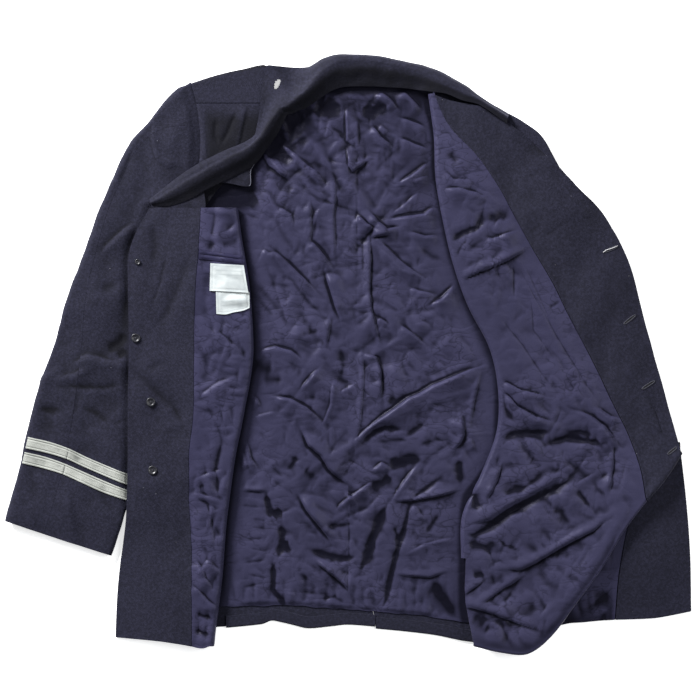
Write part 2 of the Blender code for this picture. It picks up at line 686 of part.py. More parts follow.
SHOULDER_RIGHT = Table("photo_y right_x height", [
    (103.4, 258, 7.2), (120, 256, 6.4), (137, 252, 6.0), (160, 240, 6.4), (185, 222, 6.6),
    (205, 205, 6.2), (228, 200, 5.6)])
SHOULDER_LEFT = Table("photo_y left_x height", [
    (130, 468, 5.4), (160, 468, 5.4), (200, 473, 5.4), (232, 479, 5.4)])


def add_shoulders(wool, left_return):
    rows = []
    for photo_y in np.linspace(103.2, 228, 8):
        start = armhole_right(photo_y) + ARMHOLE_REACH
        end = SHOULDER_RIGHT.at("right_x", photo_y)
        height = SHOULDER_RIGHT.at("height", photo_y)
        rows.append([point(start + (end - start) * across, photo_y,
                           height + 0.6 * across * (1 - across) - (1 - across) * (height - 6.9) * 0.8)
                     for across in np.linspace(0, 1, 6)])
    Sheet(np.array(rows)[::-1]).wall("front_right_shoulder", WOOL, wool)
    rows = []
    for photo_y in np.linspace(128, 232, 6):
        start = return_x(left_return, photo_y) + 1.0
        end = armhole_left(photo_y) - ARMHOLE_REACH
        rows.append([point(start + (end - start) * across, photo_y, SIDE_Z + 1.2 * across)
                     for across in np.linspace(0, 1, 4)])
    Sheet(np.array(rows)[::-1]).wall("front_left_shoulder", WOOL, wool)


# The collar and the lapel

COLLAR = Table(
    "station outer_x outer_y foot_z roll_x roll_y roll_z inner_x inner_y inner_z lie", [
        (0, 262.5, 82, 9.4, 280, 109, 20, 287, 115, 15, 1),
        (1, 266, 66.3, 9.4, 287, 106, 21, 294, 113, 14, 1),
        (2, 277, 66, 9, 291, 103, 21, 298, 111, 13, 1), (3, 288, 66.5, 3, 297, 98, 21, 306, 108, 12, 0.9),
        (4, 300, 67, 0.8, 306, 91, 21, 315, 102, 11, 0.6), (5, 310, 66, 0.8, 314, 82, 20, 322, 97, 10, 0.3),
        (6, 323, 58, 0.8, 324, 72, 20, 331, 91, 9, 0.1), (7, 338, 54, 0.8, 338, 64, 19, 342, 87, 8, 0),
        (8, 355, 54, 0.8, 355, 62, 18, 356, 86, 7.5, 0), (9, 373, 55, 0.8, 373, 63, 18, 373, 86, 7.5, 0),
        (10, 391, 58, 0.8, 390, 66, 18, 388, 87, 8, 0), (11, 410, 62, 0.8, 408, 70, 18, 405, 88, 9, 0),
        (12, 424, 65, 0.8, 421, 74, 18, 418, 90, 11, 0), (13, 438, 70, 0.8, 434, 79, 18, 430, 92, 14, 0),
        (14, 452, 77, 0.8, 448, 86, 18, 446, 94.5, 15.5, 0),
        (15, 467, 86, 0.8, 463, 93, 17.5, 462, 101, 15.5, 0.1),
        (16, 483, 98, 0.8, 480, 101, 17, 480, 106, 15, 0.2),
        (17, 502, 108, 0.8, 499, 112, 16, 499, 117.5, 13.5, 0.4)])
LAPEL = Table("station outer_x outer_y roll_x roll_y roll_z inner_x inner_y inner_z lie", [
    (0, 150, 199.5, 151, 203, 16, 153, 206, 13, 0.3), (1, 165, 187, 168, 195, 19, 172, 205.5, 14, 0.3),
    (2, 180, 176, 184, 185, 20, 190, 199, 14, 0.3), (3, 195, 166, 199, 176, 21, 206, 190, 13, 0.3),
    (4, 210, 158, 214, 167, 21, 224, 181, 12, 0.3), (5, 225, 151, 230, 159, 21, 240, 173, 11, 0.3),
    (6, 241, 144, 246, 151, 21, 256, 163, 11, 0.4), (7, 254, 136, 260, 139, 21, 268, 147, 11, 0.6),
    (8, 257, 126, 265, 131, 21, 276, 136, 12, 0.8), (9, 260, 107, 271, 121, 21, 281, 127, 13, 1),
    (10, 261.8, 82.4, 279.3, 109.4, 20, 286.3, 115.4, 15, 1)])


def rolled_section(row, foot_z):
    """One section over a roll, from its outer foot to its inner edge."""
    outer = np.array([row["outer_x"], row["outer_y"]])
    roll = np.array([row["roll_x"], row["roll_y"]])
    inner = np.array([row["inner_x"], row["inner_y"]])
    peak, low, lie = row["roll_z"], row["inner_z"], row["lie"]
    section = []
    standing = ((0.0, 0.1), (0.1, 0.5), (0.35, 0.83), (0.7, 0.97), (1.0, 1.0))
    lying = ((0.0, 0.0), (0.18, 0.02), (0.36, 0.06), (0.64, 0.3), (1.0, 1.0))
    for stand, flat in zip(standing, lying):
        along = stand[0] + (flat[0] - stand[0]) * lie
        rise = stand[1] + (flat[1] - stand[1]) * lie
        section.append(point(*(outer + (roll - outer) * along), foot_z + (peak - foot_z) * rise))
    for along, fall in ((0.35, 0.22), (0.7, 0.7), (1.0, 1.0)):
        section.append(point(*(roll + (inner - roll) * along), peak + (low - peak) * fall))
    return section


def table_rows(table, stations):
    return [{name: table.at(name, station) for name in table.values} for station in stations]


def add_collar_and_lapel(wool):
    collar_rows = table_rows(COLLAR, COLLAR.steps)
    points = [rolled_section(row, row["foot_z"]) for row in collar_rows]
    cells = np.ones((len(points) - 1, len(points[0]) - 1), bool)
    notch_station, notch_column = 1, 2
    cells[notch_station, notch_column] = False
    collar = Sheet(np.array(points)[::-1], cells[::-1])
    collar.wall("collar", WOOL, wool)
    lapel_rows = table_rows(LAPEL, LAPEL.steps)
    points = [rolled_section(row, LAPEL_FOOT_Z) for row in lapel_rows]
    Sheet(np.array(points)[::-1]).wall("lapel_right", WOOL, wool)
    loop_first, loop_last = 8, 10
    inner_columns = slice(5, 7)
    rows = slice(len(collar_rows) - loop_last, len(collar_rows) - loop_first + 1)
    loop = Sheet(collar.points[rows, inner_columns])
    loop.normals = collar.normals[rows, inner_columns]
    loop.wall("hanger_loop", LINING, wool, out=WOOL / 2 + PATCH_CLEARANCE + LINING / 2)


# The sleeves

SLEEVE_RIGHT = Table("station outer_x outer_y inner_x inner_y bow hind", [
    (0, 190.3, 86, 175.3, 232, 15.5, 0.3), (1, 172, 101, 170, 236, 8, 0.2),
    (2, 152, 123, 167.5, 241, 3, 0.1), (3, 132, 144, 165.5, 247, 0, 0.08),
    (4, 118, 172, 164, 256, 0, 0.08), (5, 104, 203, 162, 272, 0, 0.08),
    (6, 88, 250, 160, 300, 0, 0.1), (7, 71, 293, 157, 335, 0, 0.17),
    (8, 58, 335, 153.5, 374, 0, 0.25), (9, 44, 378, 148.5, 418, 0, 0.31),
    (10, 30, 430, 142, 471, 0, 0.34), (11, 20, 475, 124, 513, 0, 0.36),
    (12, 9, 522, 109, 555, -2, 0.37)])
SLEEVE_LEFT = Table("station outer_x outer_y inner_x inner_y bow hind", [
    (0, 508.7, 113, 524.7, 234, -8, 0.3), (1, 524, 122, 528, 238, -5, 0.2),
    (2, 541, 135, 531, 243, -2, 0.1), (3, 553, 155, 534, 252, 0, 0.08),
    (4, 564, 177, 537.5, 265, 0, 0.08), (5, 575, 208, 540, 285, 0, 0.08),
    (6, 588, 250, 542, 310, 0, 0.1), (7, 600, 300, 546, 345, 0, 0.17),
    (8, 614, 355, 550.5, 390, 0, 0.25), (9, 627, 410, 555, 437, 0, 0.31),
    (10, 639, 465, 559, 487, 0, 0.34), (11, 650, 520, 562, 541, 0, 0.36),
    (12, 657, 569, 564, 589, 0, 0.37)])
FORE_SEAM = 0.82


def sleeve_place(table, station, across):
    """The photograph's place at a share of the way across a section of a sleeve."""
    row = {name: table.at(name, station) for name in table.values}
    start = np.array([row["outer_x"], row["outer_y"]])
    end = np.array([row["inner_x"], row["inner_y"]])
    place = start + (end - start) * across
    place[0] += 4 * row["bow"] * across * (1 - across)
    return place


def sleeve_section(table, station, way, top_from, bottom_from, right_side):
    """A run round the flattened tube, on the side of it away from or next to the body."""
    half = (SLEEVE_HEIGHT - SLEEVE_WALL) / 2
    middle = SLEEVE_HEIGHT / 2
    start = sleeve_place(table, station, 0)
    end = sleeve_place(table, station, 1)
    radius = half / PIXEL / np.linalg.norm(end - start)
    run = []
    edge = 1 - radius if right_side else radius
    outward = 1 if right_side else -1
    for share in np.linspace(0, 1, 3 if right_side else 7)[:-1]:
        across = bottom_from + (edge - bottom_from) * share
        run.append(point(*sleeve_place(table, station, across), middle - half))
    for angle in np.radians((-90, -30, 30, 90)):
        across = edge + outward * radius * np.cos(angle)
        run.append(point(*sleeve_place(table, station, across), middle + half * np.sin(angle)))
    for share in np.linspace(0, 1, 7 if right_side else 3)[1:]:
        across = edge + (top_from - edge) * share
        run.append(point(*sleeve_place(table, station, across), middle + half))
    return run[::-1] if (way > 0) == right_side else run


def add_sleeves(wool, silver):
    for name, table, way in (("right", SLEEVE_RIGHT, 1), ("left", SLEEVE_LEFT, -1)):
        for piece, right_side in (("top", True), ("under", False)):
            rows = []
            for station in table.steps:
                start = sleeve_place(table, station, 0)
                end = sleeve_place(table, station, 1)
                gap = SEAM_GAP / 2 / PIXEL / np.linalg.norm(end - start)
                gap = gap if right_side else -gap
                hind = table.at("hind", station) + gap
                rows.append(sleeve_section(table, station, way, hind, FORE_SEAM + gap, right_side))
            Sheet(np.array(rows)[::-1]).wall(f"sleeve_{name}_{piece}", SLEEVE_WALL, wool)
    top = SLEEVE_HEIGHT + BRAID_CLEARANCE + BRAID_THICKNESS / 2
    for name, first, last in (("upper", 10.16, 10.38), ("lower", 10.48, 10.70)):
        rows = []
        for station in np.linspace(first, last, 3):
            rows.append([point(*sleeve_place(SLEEVE_RIGHT, station, across), top)
                         for across in np.linspace(0.03, 0.88, 7)])
        Sheet(np.array(rows)[::-1]).wall("braid_" + name, BRAID_THICKNESS, silver)


def main():
    for old in list(bpy.data.objects):
        bpy.data.objects.remove(old)
    wool = material("wool", WOOL_COLOUR, 0.85)
    satin = material("lining satin", LINING_COLOUR, 0.4)
    silver = material("silver braid", BRAID_COLOUR, 0.5)
    label = material("label tape", LABEL_COLOUR, 0.6)
    plastic = material("dark plastic", BUTTON_COLOUR, 0.35)
    add_back(wool)
    add_back_lining(satin)
    right = front_right_sheet()
    left, wrapped = left_sheet()
    right_return = right.points[:, -1]
    left_return = left.points[-1 - LAST_WRAPPED_ROW:, 0]
    add_side_panels(wool, right_return, left_return)
    add_front_right(right, wool, satin)
    add_labels_and_pocket(label, satin)
    add_buttons(plastic)
    add_front_left(left, wrapped, wool, satin)
    add_shoulders(wool, left_return)
    add_collar_and_lapel(wool)
    add_sleeves(wool, silver)


main()
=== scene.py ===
# A fire service dress jacket, laid on its back with both fronts flung open, as it is looked at.
#
# Every cloth piece repeats the sheet that its solid is built on, from the same tables of sections,
# read finely and given the creases of the cloth. Places in the tables are in the photograph's
# pixels, x to the right and y down, and heights are millimetres over the floor.

import math

import bpy
import numpy as np
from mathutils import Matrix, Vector, bvhtree


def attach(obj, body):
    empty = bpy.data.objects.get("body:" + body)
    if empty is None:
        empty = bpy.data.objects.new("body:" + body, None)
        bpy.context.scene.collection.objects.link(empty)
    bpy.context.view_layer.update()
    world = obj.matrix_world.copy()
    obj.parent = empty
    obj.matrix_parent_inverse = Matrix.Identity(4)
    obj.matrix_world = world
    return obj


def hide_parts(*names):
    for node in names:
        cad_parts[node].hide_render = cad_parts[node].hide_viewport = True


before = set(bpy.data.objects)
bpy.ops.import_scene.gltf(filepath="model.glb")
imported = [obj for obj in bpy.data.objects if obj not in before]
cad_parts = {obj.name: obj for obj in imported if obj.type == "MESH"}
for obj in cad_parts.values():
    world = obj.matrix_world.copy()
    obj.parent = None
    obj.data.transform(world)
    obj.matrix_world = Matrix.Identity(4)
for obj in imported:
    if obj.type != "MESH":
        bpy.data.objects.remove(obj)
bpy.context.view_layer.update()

# Driving dimensions, in millimetres
BACK_LENGTH = 780.0
WOOL = 1.6
SLEEVE_WALL = 1.8
LINING = 1.0
SEAM_GAP = 0.3
FOLD_RADIUS = 4.2
SIDE_RADIUS = 2.3
SLEEVE_HEIGHT = 7.4
PLEAT_INNER_RADIUS = 2.6
PLEAT_OUTER_RADIUS = 3.75
HEM_DEPTH = 16.0
HEM_RADIUS = 1.15
HEM_STEPS = 4
SHOULDER_STEPS = 4
RETURN_LENGTH = 32.0
BUTTON_DIAMETER = 12.5
BRAID_THICKNESS = 1.2
LABEL_THICKNESS = 0.8

# How the photograph maps to the garment
PIXELS_DOWN_THE_BACK = 557.0
PIXEL = BACK_LENGTH / PIXELS_DOWN_THE_BACK
CENTRE_X = 350.465
CENTRE_Y = 352.93

# Heights of the stacked layers' middles, in millimetres over the floor
BACK_Z = WOOL / 2
BACK_LINING_Z = WOOL + SEAM_GAP + LINING / 2
SIDE_Z = BACK_Z + 2 * SIDE_RADIUS
FRONT_Z = SIDE_Z + 2 * FOLD_RADIUS
SHOULDER_Z = 7.2
SHOULDER_RADIUS = (SHOULDER_Z - BACK_Z) / 2
LAPEL_FOOT_Z = SHOULDER_Z + 2.2
LINING_OUT = WOOL / 2 + SEAM_GAP + LINING / 2
FACING_OUT = WOOL + SEAM_GAP
FOLD_OUTER = FOLD_RADIUS + LINING_OUT + LINING / 2


class Table:
    """Rows under named columns, read smoothly along the first column."""

    def __init__(self, columns, rows):
        names = columns.split()
        self.values = dict(zip(names, np.array(rows, dtype=float).T))
        self.steps = self.values[names[0]]

    def at(self, column, step):
        heights = self.values[column]
        gaps = np.diff(self.steps)
        rises = np.diff(heights) / gaps
        slopes = np.zeros_like(heights)
        same_way = rises[:-1] * rises[1:] > 0
        mean = 2 * rises[:-1] * rises[1:] / np.where(same_way, rises[:-1] + rises[1:], 1.0)
        slopes[1:-1] = np.where(same_way, mean, 0.0)
        slopes[0] = rises[0]
        slopes[-1] = rises[-1]
        step = np.clip(step, self.steps[0], self.steps[-1])
        cell = np.clip(np.searchsorted(self.steps, step) - 1, 0, len(gaps) - 1)
        width = gaps[cell]
        t = (step - self.steps[cell]) / width
        start = heights[cell] * (1 + 2 * t) * (1 - t) ** 2 + slopes[cell] * width * t * (1 - t) ** 2
        end = heights[cell + 1] * (3 - 2 * t) * t**2 - slopes[cell + 1] * width * t**2 * (1 - t)
        return start + end


def through(steps, heights, step):
    """The height at a step on a smooth line through a few points."""
    return Table("step height", list(zip(steps, heights))).at("height", step)


def blend(value):
    """Rises smoothly from 0 to 1 as value does."""
    value = np.clip(value, 0.0, 1.0)
    return value * value * (3 - 2 * value)


def between(start, end, share):
    """The value at a share of the way from one to another."""
    return start + (end - start) * share


def point(photo_x, photo_y, height):
    """A place of the photograph at a height, in millimetres of the shared frame."""
    return np.array([(photo_x - CENTRE_X) * PIXEL, (CENTRE_Y - photo_y) * PIXEL, height])


def half_turn(radius, count):
    """Sideways and upward steps round a fold, from its lower leg to its upper one."""
    angles = np.linspace(0, np.pi, count + 1)
    return [(radius * np.sin(angle), radius * (1 - np.cos(angle))) for angle in angles]


# Lines that several pieces share

def armhole_right(photo_y):
    """The armhole seam of the right side, as the photograph's x."""
    w = np.clip((photo_y - 86) / 146, 0, 1)
    return 191 - 15 * w + 62 * w * (1 - w)


def armhole_left(photo_y):
    w = np.clip((photo_y - 113) / 121, 0, 1)
    return 508 + 16 * w - 32 * w * (1 - w)


SIDE_LINES = Table("photo_y right_x left_x", [
    (232, 177, 524), (248, 171, 529), (272, 166, 534), (300, 164, 538), (345, 160.5, 542.5),
    (390, 157, 546.5), (437, 152, 551), (480, 149, 554.5), (560, 149, 558), (645, 149, 560)])


def side_right(photo_y):
    return np.where(photo_y < 232, armhole_right(photo_y), SIDE_LINES.at("right_x", photo_y))


def side_left(photo_y):
    return np.where(photo_y < 234, armhole_left(photo_y), SIDE_LINES.at("left_x", photo_y))


OVER_SHOULDER_ROWS = (102.5, 93.0, 87.5)
ARMHOLE_ROWS = (117, 134, 151, 168, 185, 203, 220)
SIDE_ROWS = (236, 268, 300, 345, 392, 437, 480, 560, 612)
SIDE_REACH = (SIDE_RADIUS + WOOL / 2 + 4 * SEAM_GAP) / PIXEL
ARMHOLE_REACH = 0.55
LINING_INSET = 4.0


def back_edge_right(photo_y):
    """Where the right back's cut edge lies: at the armhole, then inside the side seam's turn."""
    return side_right(photo_y) + (SIDE_REACH if photo_y > 232 else ARMHOLE_REACH)


def back_edge_left(photo_y):
    return side_left(photo_y) - (SIDE_REACH if photo_y > 234 else ARMHOLE_REACH)


CENTRE_SEAM = Table("photo_y x", [
    (60, 348), (470, 348), (500, 351), (560, 361), (600, 371), (630, 376)])
RIGHT_TOP = Table("across photo_y", [
    (0, 83), (0.16, 75), (0.33, 69), (0.49, 66.5), (0.535, 99), (0.58, 97), (0.63, 80),
    (0.7, 73), (0.8, 64), (0.88, 58.5), (1, 55.3)])
LEFT_TOP = Table("x photo_y", [
    (348, 55), (371, 55.7), (389, 58.7), (410, 63), (436, 70.6), (466, 87.1), (482, 98.6),
    (508, 114)])
RIGHT_HEM = Table("x photo_y", [
    (149, 634), (190, 630), (217, 628), (249, 629), (270, 621), (291, 625), (312, 629),
    (346, 625), (376, 627)])
LEFT_HEM = Table("x photo_y", [
    (376, 629), (417, 633), (458, 639), (484, 645), (510, 642), (560, 632)])


# Fine cloth

def refined(points, counts):
    """Rows with more rows between them, on a smooth curve that keeps flats flat beside turns."""
    spans = points[1:] - points[:-1]
    lengths = np.maximum(np.linalg.norm(spans, axis=2, keepdims=True), 1e-6)
    ways = spans / lengths
    weights = lengths**2
    tangents = np.empty_like(points)
    tangents[1:-1] = ((weights[:-1] * ways[:-1] + weights[1:] * ways[1:])
                      / (weights[:-1] + weights[1:]))
    tangents[0], tangents[-1] = ways[0], ways[-1]
    rows = []
    for row, count in enumerate(counts):
        start, end = points[row], points[row + 1]
        leave, arrive = tangents[row] * lengths[row], tangents[row + 1] * lengths[row]
        for step in range(count):
            t = step / count
            rows.append(start * (1 + 2 * t) * (1 - t)**2 + leave * t * (1 - t)**2
                        + end * (3 - 2 * t) * t**2 - arrive * t**2 * (1 - t))
    rows.append(points[-1])
    return np.array(rows)


def noise(x, y, seed):
    """Smooth noise from about -1 to 1, the same on each run."""
    rng = np.random.RandomState(seed)
    order = np.tile(rng.permutation(256), 3)
    angles = rng.uniform(0, 2 * np.pi, 256)
    cell_x, cell_y = np.floor(x).astype(int), np.floor(y).astype(int)
    fx, fy = x - cell_x, y - cell_y

    def corner(dx, dy):
        picked = angles[order[order[(cell_x + dx) % 256] + (cell_y + dy) % 256]]
        return np.cos(picked) * (fx - dx) + np.sin(picked) * (fy - dy)

    sx, sy = fx**3 * (fx * (6 * fx - 15) + 10), fy**3 * (fy * (6 * fy - 15) + 10)
    low = corner(0, 0) + (corner(1, 0) - corner(0, 0)) * sx
    high = corner(0, 1) + (corner(1, 1) - corner(0, 1)) * sx
    return 1.5 * (low + (high - low) * sy)


def billows(x, y, size, seed, turn, stretch):
    """Soft swells from 0 to about 1 that meet in narrow valleys, drawn out along one direction."""
    angle = math.radians(turn)
    along = (x * math.cos(angle) + y * math.sin(angle)) / (size * stretch)
    across = (-x * math.sin(angle) + y * math.cos(angle)) / size
    warp = noise(along * 0.8 + 7, across * 0.8 + 3, seed + 1)
    return np.sqrt(noise(along + 0.3 * warp, across - 0.3 * warp, seed)**2 + 0.0016)


def crumpled(x, y, size, seed, turn):
    """Long folds from about -0.5 to 0.8 whose directions take turns, with ridges and valleys."""
    wide_x, wide_y = x / (2.4 * size), y / (2.4 * size)
    x, y = (x + 0.25 * size * noise(wide_x, wide_y, seed + 3),
            y + 0.25 * size * noise(wide_x + 9, wide_y, seed + 4))
    first = (billows(x, y, size, seed, turn, 4.5)
             - billows(x, y, 1.3 * size, seed + 6, turn - 18, 4.5))
    second = (billows(x, y, size, seed + 1, turn + 68, 3.6)
              - billows(x, y, 1.2 * size, seed + 7, turn + 90, 3.6))
    choice = blend(0.5 + 1.3 * noise(x / (1.7 * size) + 5, y / (1.7 * size), seed + 2))
    strength = 0.3 + 0.7 * blend(
        0.5 + 1.3 * noise(x / (2.6 * size) + 2, y / (2.6 * size), seed + 5))
    return (first * choice + second * (1 - choice)) * strength


def swells(x, y, rows, level=0.0):
    """Broad swells about a level: each row has their height, width, length and seed."""
    return sum((height * noise(x / width, y / length, seed)
                for height, width, length, seed in rows), level)


def crumple(x, y, rows):
    """Layers of small folds: each row has their height, size, seed and direction in degrees."""
    return sum(height * crumpled(x, y, size, seed, turn) for height, size, seed, turn in rows)


def creases(x, y, rows):
    """Creases laid one by one: half the width, the rise, the lean, then the x and y of its places.

    A raised crease climbs slowly to its line and drops into a narrow valley on the right of a line
    that runs down the photograph, or on its left for a lean under 0. A rise under 0 is a trough.
    """
    height = np.zeros_like(x)
    for width, rise, lean, *places in rows:
        line = np.array(places, dtype=float).reshape(-1, 2)
        low_x, low_y = line.min(axis=0) - 5 * width
        high_x, high_y = line.max(axis=0) + 5 * width
        near = (x > low_x) & (x < high_x) & (y > low_y) & (y < high_y)
        if not near.any():
            continue
        px, py = x[near], y[near]
        spans = np.diff(line, axis=0)
        lengths = np.linalg.norm(spans, axis=1)
        best, side, over, part = np.full(px.shape, np.inf), 0 * px, 0 * px, 0 * px
        for k, ((x0, y0), (along_x, along_y), length) in enumerate(zip(line, spans, lengths)):
            share = ((px - x0) * along_x + (py - y0) * along_y) / length**2
            inside = np.clip(share, 0, 1)
            off = ((px - x0) * along_y - (py - y0) * along_x) / length
            past = (share - inside) * length
            away = np.hypot(off, past)
            closer = away < best
            end = ((past < 0) & (k == 0)) | ((past > 0) & (k == len(spans) - 1))
            best = np.where(closer, away, best)
            side = np.where(closer, np.where(end, off, np.sign(off) * away), side)
            over = np.where(closer, np.where(end, past, 0), over)
            part = np.where(closer, (lengths[:k].sum() + inside * length) / lengths.sum(), part)
        taper = 0.15 + 0.85 * blend(part / 0.25) * blend((1 - part) / 0.3)
        half = width * (0.5 + 0.5 * taper)
        if rise < 0:
            form = np.exp(-1.2 * np.hypot(side / half, over / (0.7 * width))**1.6)
        else:
            down = side * (1.0 if lean >= 0 else -1.0)
            slope = np.where(down < 0, 2.6 * half, 0.4 * half + 0.7)
            swell = np.exp(-np.hypot(down / slope, over / width)**1.5)
            valley = np.exp(-np.hypot((down - 0.6 * half) / (0.2 * width + 0.8), over / width)**2)
            form = swell - (0.15 + 0.7 * abs(lean)) * valley
        height[near] += rise * taper * form
    return height


def towards(start, end, distance):
    way = end - start
    lengths = np.linalg.norm(way, axis=-1, keepdims=True)
    return way / np.where(lengths > 0, lengths, 1.0) * distance


def surface_normals(points, cells):
    face = np.cross(points[1:, 1:] - points[:-1, :-1], points[1:, :-1] - points[:-1, 1:])
    face = face * cells[..., None]
    normals = np.zeros_like(points)
    normals[:-1, :-1] += face
    normals[:-1, 1:] += face
    normals[1:, 1:] += face
    normals[1:, :-1] += face
    lengths = np.linalg.norm(normals, axis=2, keepdims=True)
    return normals / np.where(lengths > 0, lengths, 1.0)


def running_length(points, axis):
    total = np.cumsum(np.linalg.norm(np.diff(points, axis=axis), axis=2), axis=axis)
    return np.pad(total, [(1, 0), (0, 0)] if axis == 0 else [(0, 0), (1, 0)])


def hollows(points, normals):
    """How far each point lies below the cloth round it, in millimetres."""
    def smoothed(values, most):
        for axis in (0, 1):
            reach = min(most, values.shape[axis] // 2 - 1)
            if reach < 1:
                continue
            kernel = np.hanning(2 * reach + 3)[1:-1]
            pad = [(reach, reach) if k == axis else (0, 0) for k in range(3)]
            padded = np.pad(values, pad, mode="edge")
            values = sum(weight * np.take(padded, range(k, k + values.shape[axis]), axis=axis)
                         for k, weight in enumerate(kernel / kernel.sum()))
        return values

    narrow = np.sum((smoothed(points, 4) - points) * normals, axis=2)
    wide = np.sum((smoothed(points, 12) - points) * normals, axis=2)
    return 1.3 * narrow + 0.4 * wide


def finish_piece(made, material, replaces=()):
    made.data.materials.append(material)
    bpy.context.scene.collection.objects.link(made)
    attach(made, "root")
    for node in replaces:
        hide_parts(node)
    return made


class Cloth:
    """A fine sheet through a net of control points, from which the layers of cloth are made."""

    def __init__(self, controls, row_counts=1, column_counts=1, cells=None):
        controls = np.array(controls, dtype=float)
        rows, columns = controls.shape[:2]
        if isinstance(row_counts, int):
            row_counts = [row_counts] * (rows - 1)
        if isinstance(column_counts, int):
            column_counts = [column_counts] * (columns - 1)
        if cells is None:
            cells = np.ones((rows - 1, columns - 1), bool)
        points = refined(controls, row_counts)
        self.form = refined(points.transpose(1, 0, 2), column_counts).transpose(1, 0, 2)
        self.points = self.form
        # Painted shade per point, added to the hollows in the shell; none unless a piece sets it.
        self.shade = np.zeros(self.form.shape[:2])
        self.cells = np.repeat(np.repeat(cells, row_counts, axis=0), column_counts, axis=1)
        self.row_starts = np.concatenate([[0], np.cumsum(row_counts)])
        self.starts = np.concatenate([[0], np.cumsum(column_counts)])

    @property
    def x(self):
        return self.form[..., 0] / PIXEL + CENTRE_X

    @property
    def y(self):
        return CENTRE_Y - self.form[..., 1] / PIXEL

    def lift(self, heights):
        """Moves the sheet out along its plain form's normals."""
        self.points = self.points + surface_normals(self.form, self.cells) * heights[..., None]

    def layer(self, name, thickness, material, slot, out=0.0, first=0, last=-1, trim_first=0.0,
              trim_last=0.0, backed=False, replaces=(), step=1,
              held="laid", rests_on=()):
        """A shell on the control columns from first to last: an outer side, a rim and a back."""
        start = self.starts[first]
        stop = self.starts[last]
        points = self.points[:, start:stop + 1].copy()
        normals = surface_normals(self.points, self.cells)[:, start:stop + 1]
        cells = self.cells[:, start:stop]
        points[:, 0] += towards(points[:, 0], points[:, 1], trim_first)
        points[:, -1] += towards(points[:, -1], points[:, -2], trim_last)
        pick = np.s_[::step, ::step]
        made = shell(name, points[pick], normals[pick], cells[pick], thickness, out, material,
                     backed, replaces, self.shade[:, start:stop + 1][pick])
        return made


def shell(name, points, normals, cells, thickness, out, material, backed, replaces, shade):
    count = points.shape[0] * points.shape[1]
    number = np.arange(count).reshape(points.shape[:2])
    a, b = number[:-1, :-1][cells], number[:-1, 1:][cells]
    c, d = number[1:, 1:][cells], number[1:, :-1][cells]
    faces = [np.stack([a, b, c, d], 1)]
    if not backed:
        faces.append(np.stack([d, c, b, a], 1) + count)
    edges = np.concatenate([np.stack(pair, 1) for pair in ((a, b), (b, c), (c, d), (d, a))])
    keys = edges[:, 0] * count + edges[:, 1]
    rim = edges[~np.isin(keys, edges[:, 1] * count + edges[:, 0])]
    faces.append(np.stack([rim[:, 1], rim[:, 0], rim[:, 0] + count, rim[:, 1] + count], 1))
    faces = np.concatenate(faces)
    top = points + normals * (out + thickness / 2)
    bottom = points + normals * (out - thickness / 2)
    places = np.concatenate([top.reshape(-1, 3), bottom.reshape(-1, 3)]) / 1000
    places[:, 2] = np.maximum(places[:, 2], 0)
    lengths = np.stack([running_length(points, axis).ravel() for axis in (1, 0)], 1) / 1000
    used, faces = np.unique(faces, return_inverse=True)
    faces = faces.reshape(-1, 4)
    mesh = bpy.data.meshes.new(name)
    mesh.from_pydata(places[used].tolist(), [], faces.tolist())
    layer = mesh.uv_layers.new(name="cloth")
    layer.data.foreach_set(
        "uv", np.tile(lengths, (2, 1))[used][faces.ravel()].astype(np.float32).ravel())
    # Painted shade for the materials: the depth of each point's hollow plus the sheet's shade
    # values.
    depth = np.tile((hollows(points, normals) + shade).ravel(), 2)[used]
    mesh.attributes.new("painted_shade", "FLOAT", "POINT").data.foreach_set(
        "value", depth.astype(np.float32))
    mesh.shade_smooth()
    mesh.set_sharp_from_angle(angle=math.radians(60))
    return finish_piece(bpy.data.objects.new(name, mesh), material, replaces)


class Top:
    """Finds the highest cloth over a place, so that small pieces lie on it."""

    def __init__(self, *pieces):
        self.trees = [bvhtree.BVHTree.FromPolygons(
            [v.co for v in piece.data.vertices], [tuple(p.vertices) for p in piece.data.polygons])
            for piece in pieces]

    def at(self, photo_x, photo_y):
        place = point(photo_x, photo_y, 0) / 1000
        best = None
        for tree in self.trees:
            hit, normal, _, _ = tree.ray_cast(Vector((place[0], place[1], 0.2)), Vector((0, 0, -1)))
            if hit is not None and (best is None or hit.z > best[0].z):
                best = (hit, normal)
        if best is None:
            return place * 1000, np.array([0.0, 0.0, 1.0])
        return np.array(best[0]) * 1000, np.array(best[1])

    def over(self, places, out=0.0):
        found = [self.at(x, y) for x, y in places]
        return np.array([hit + normal * out for hit, normal in found])


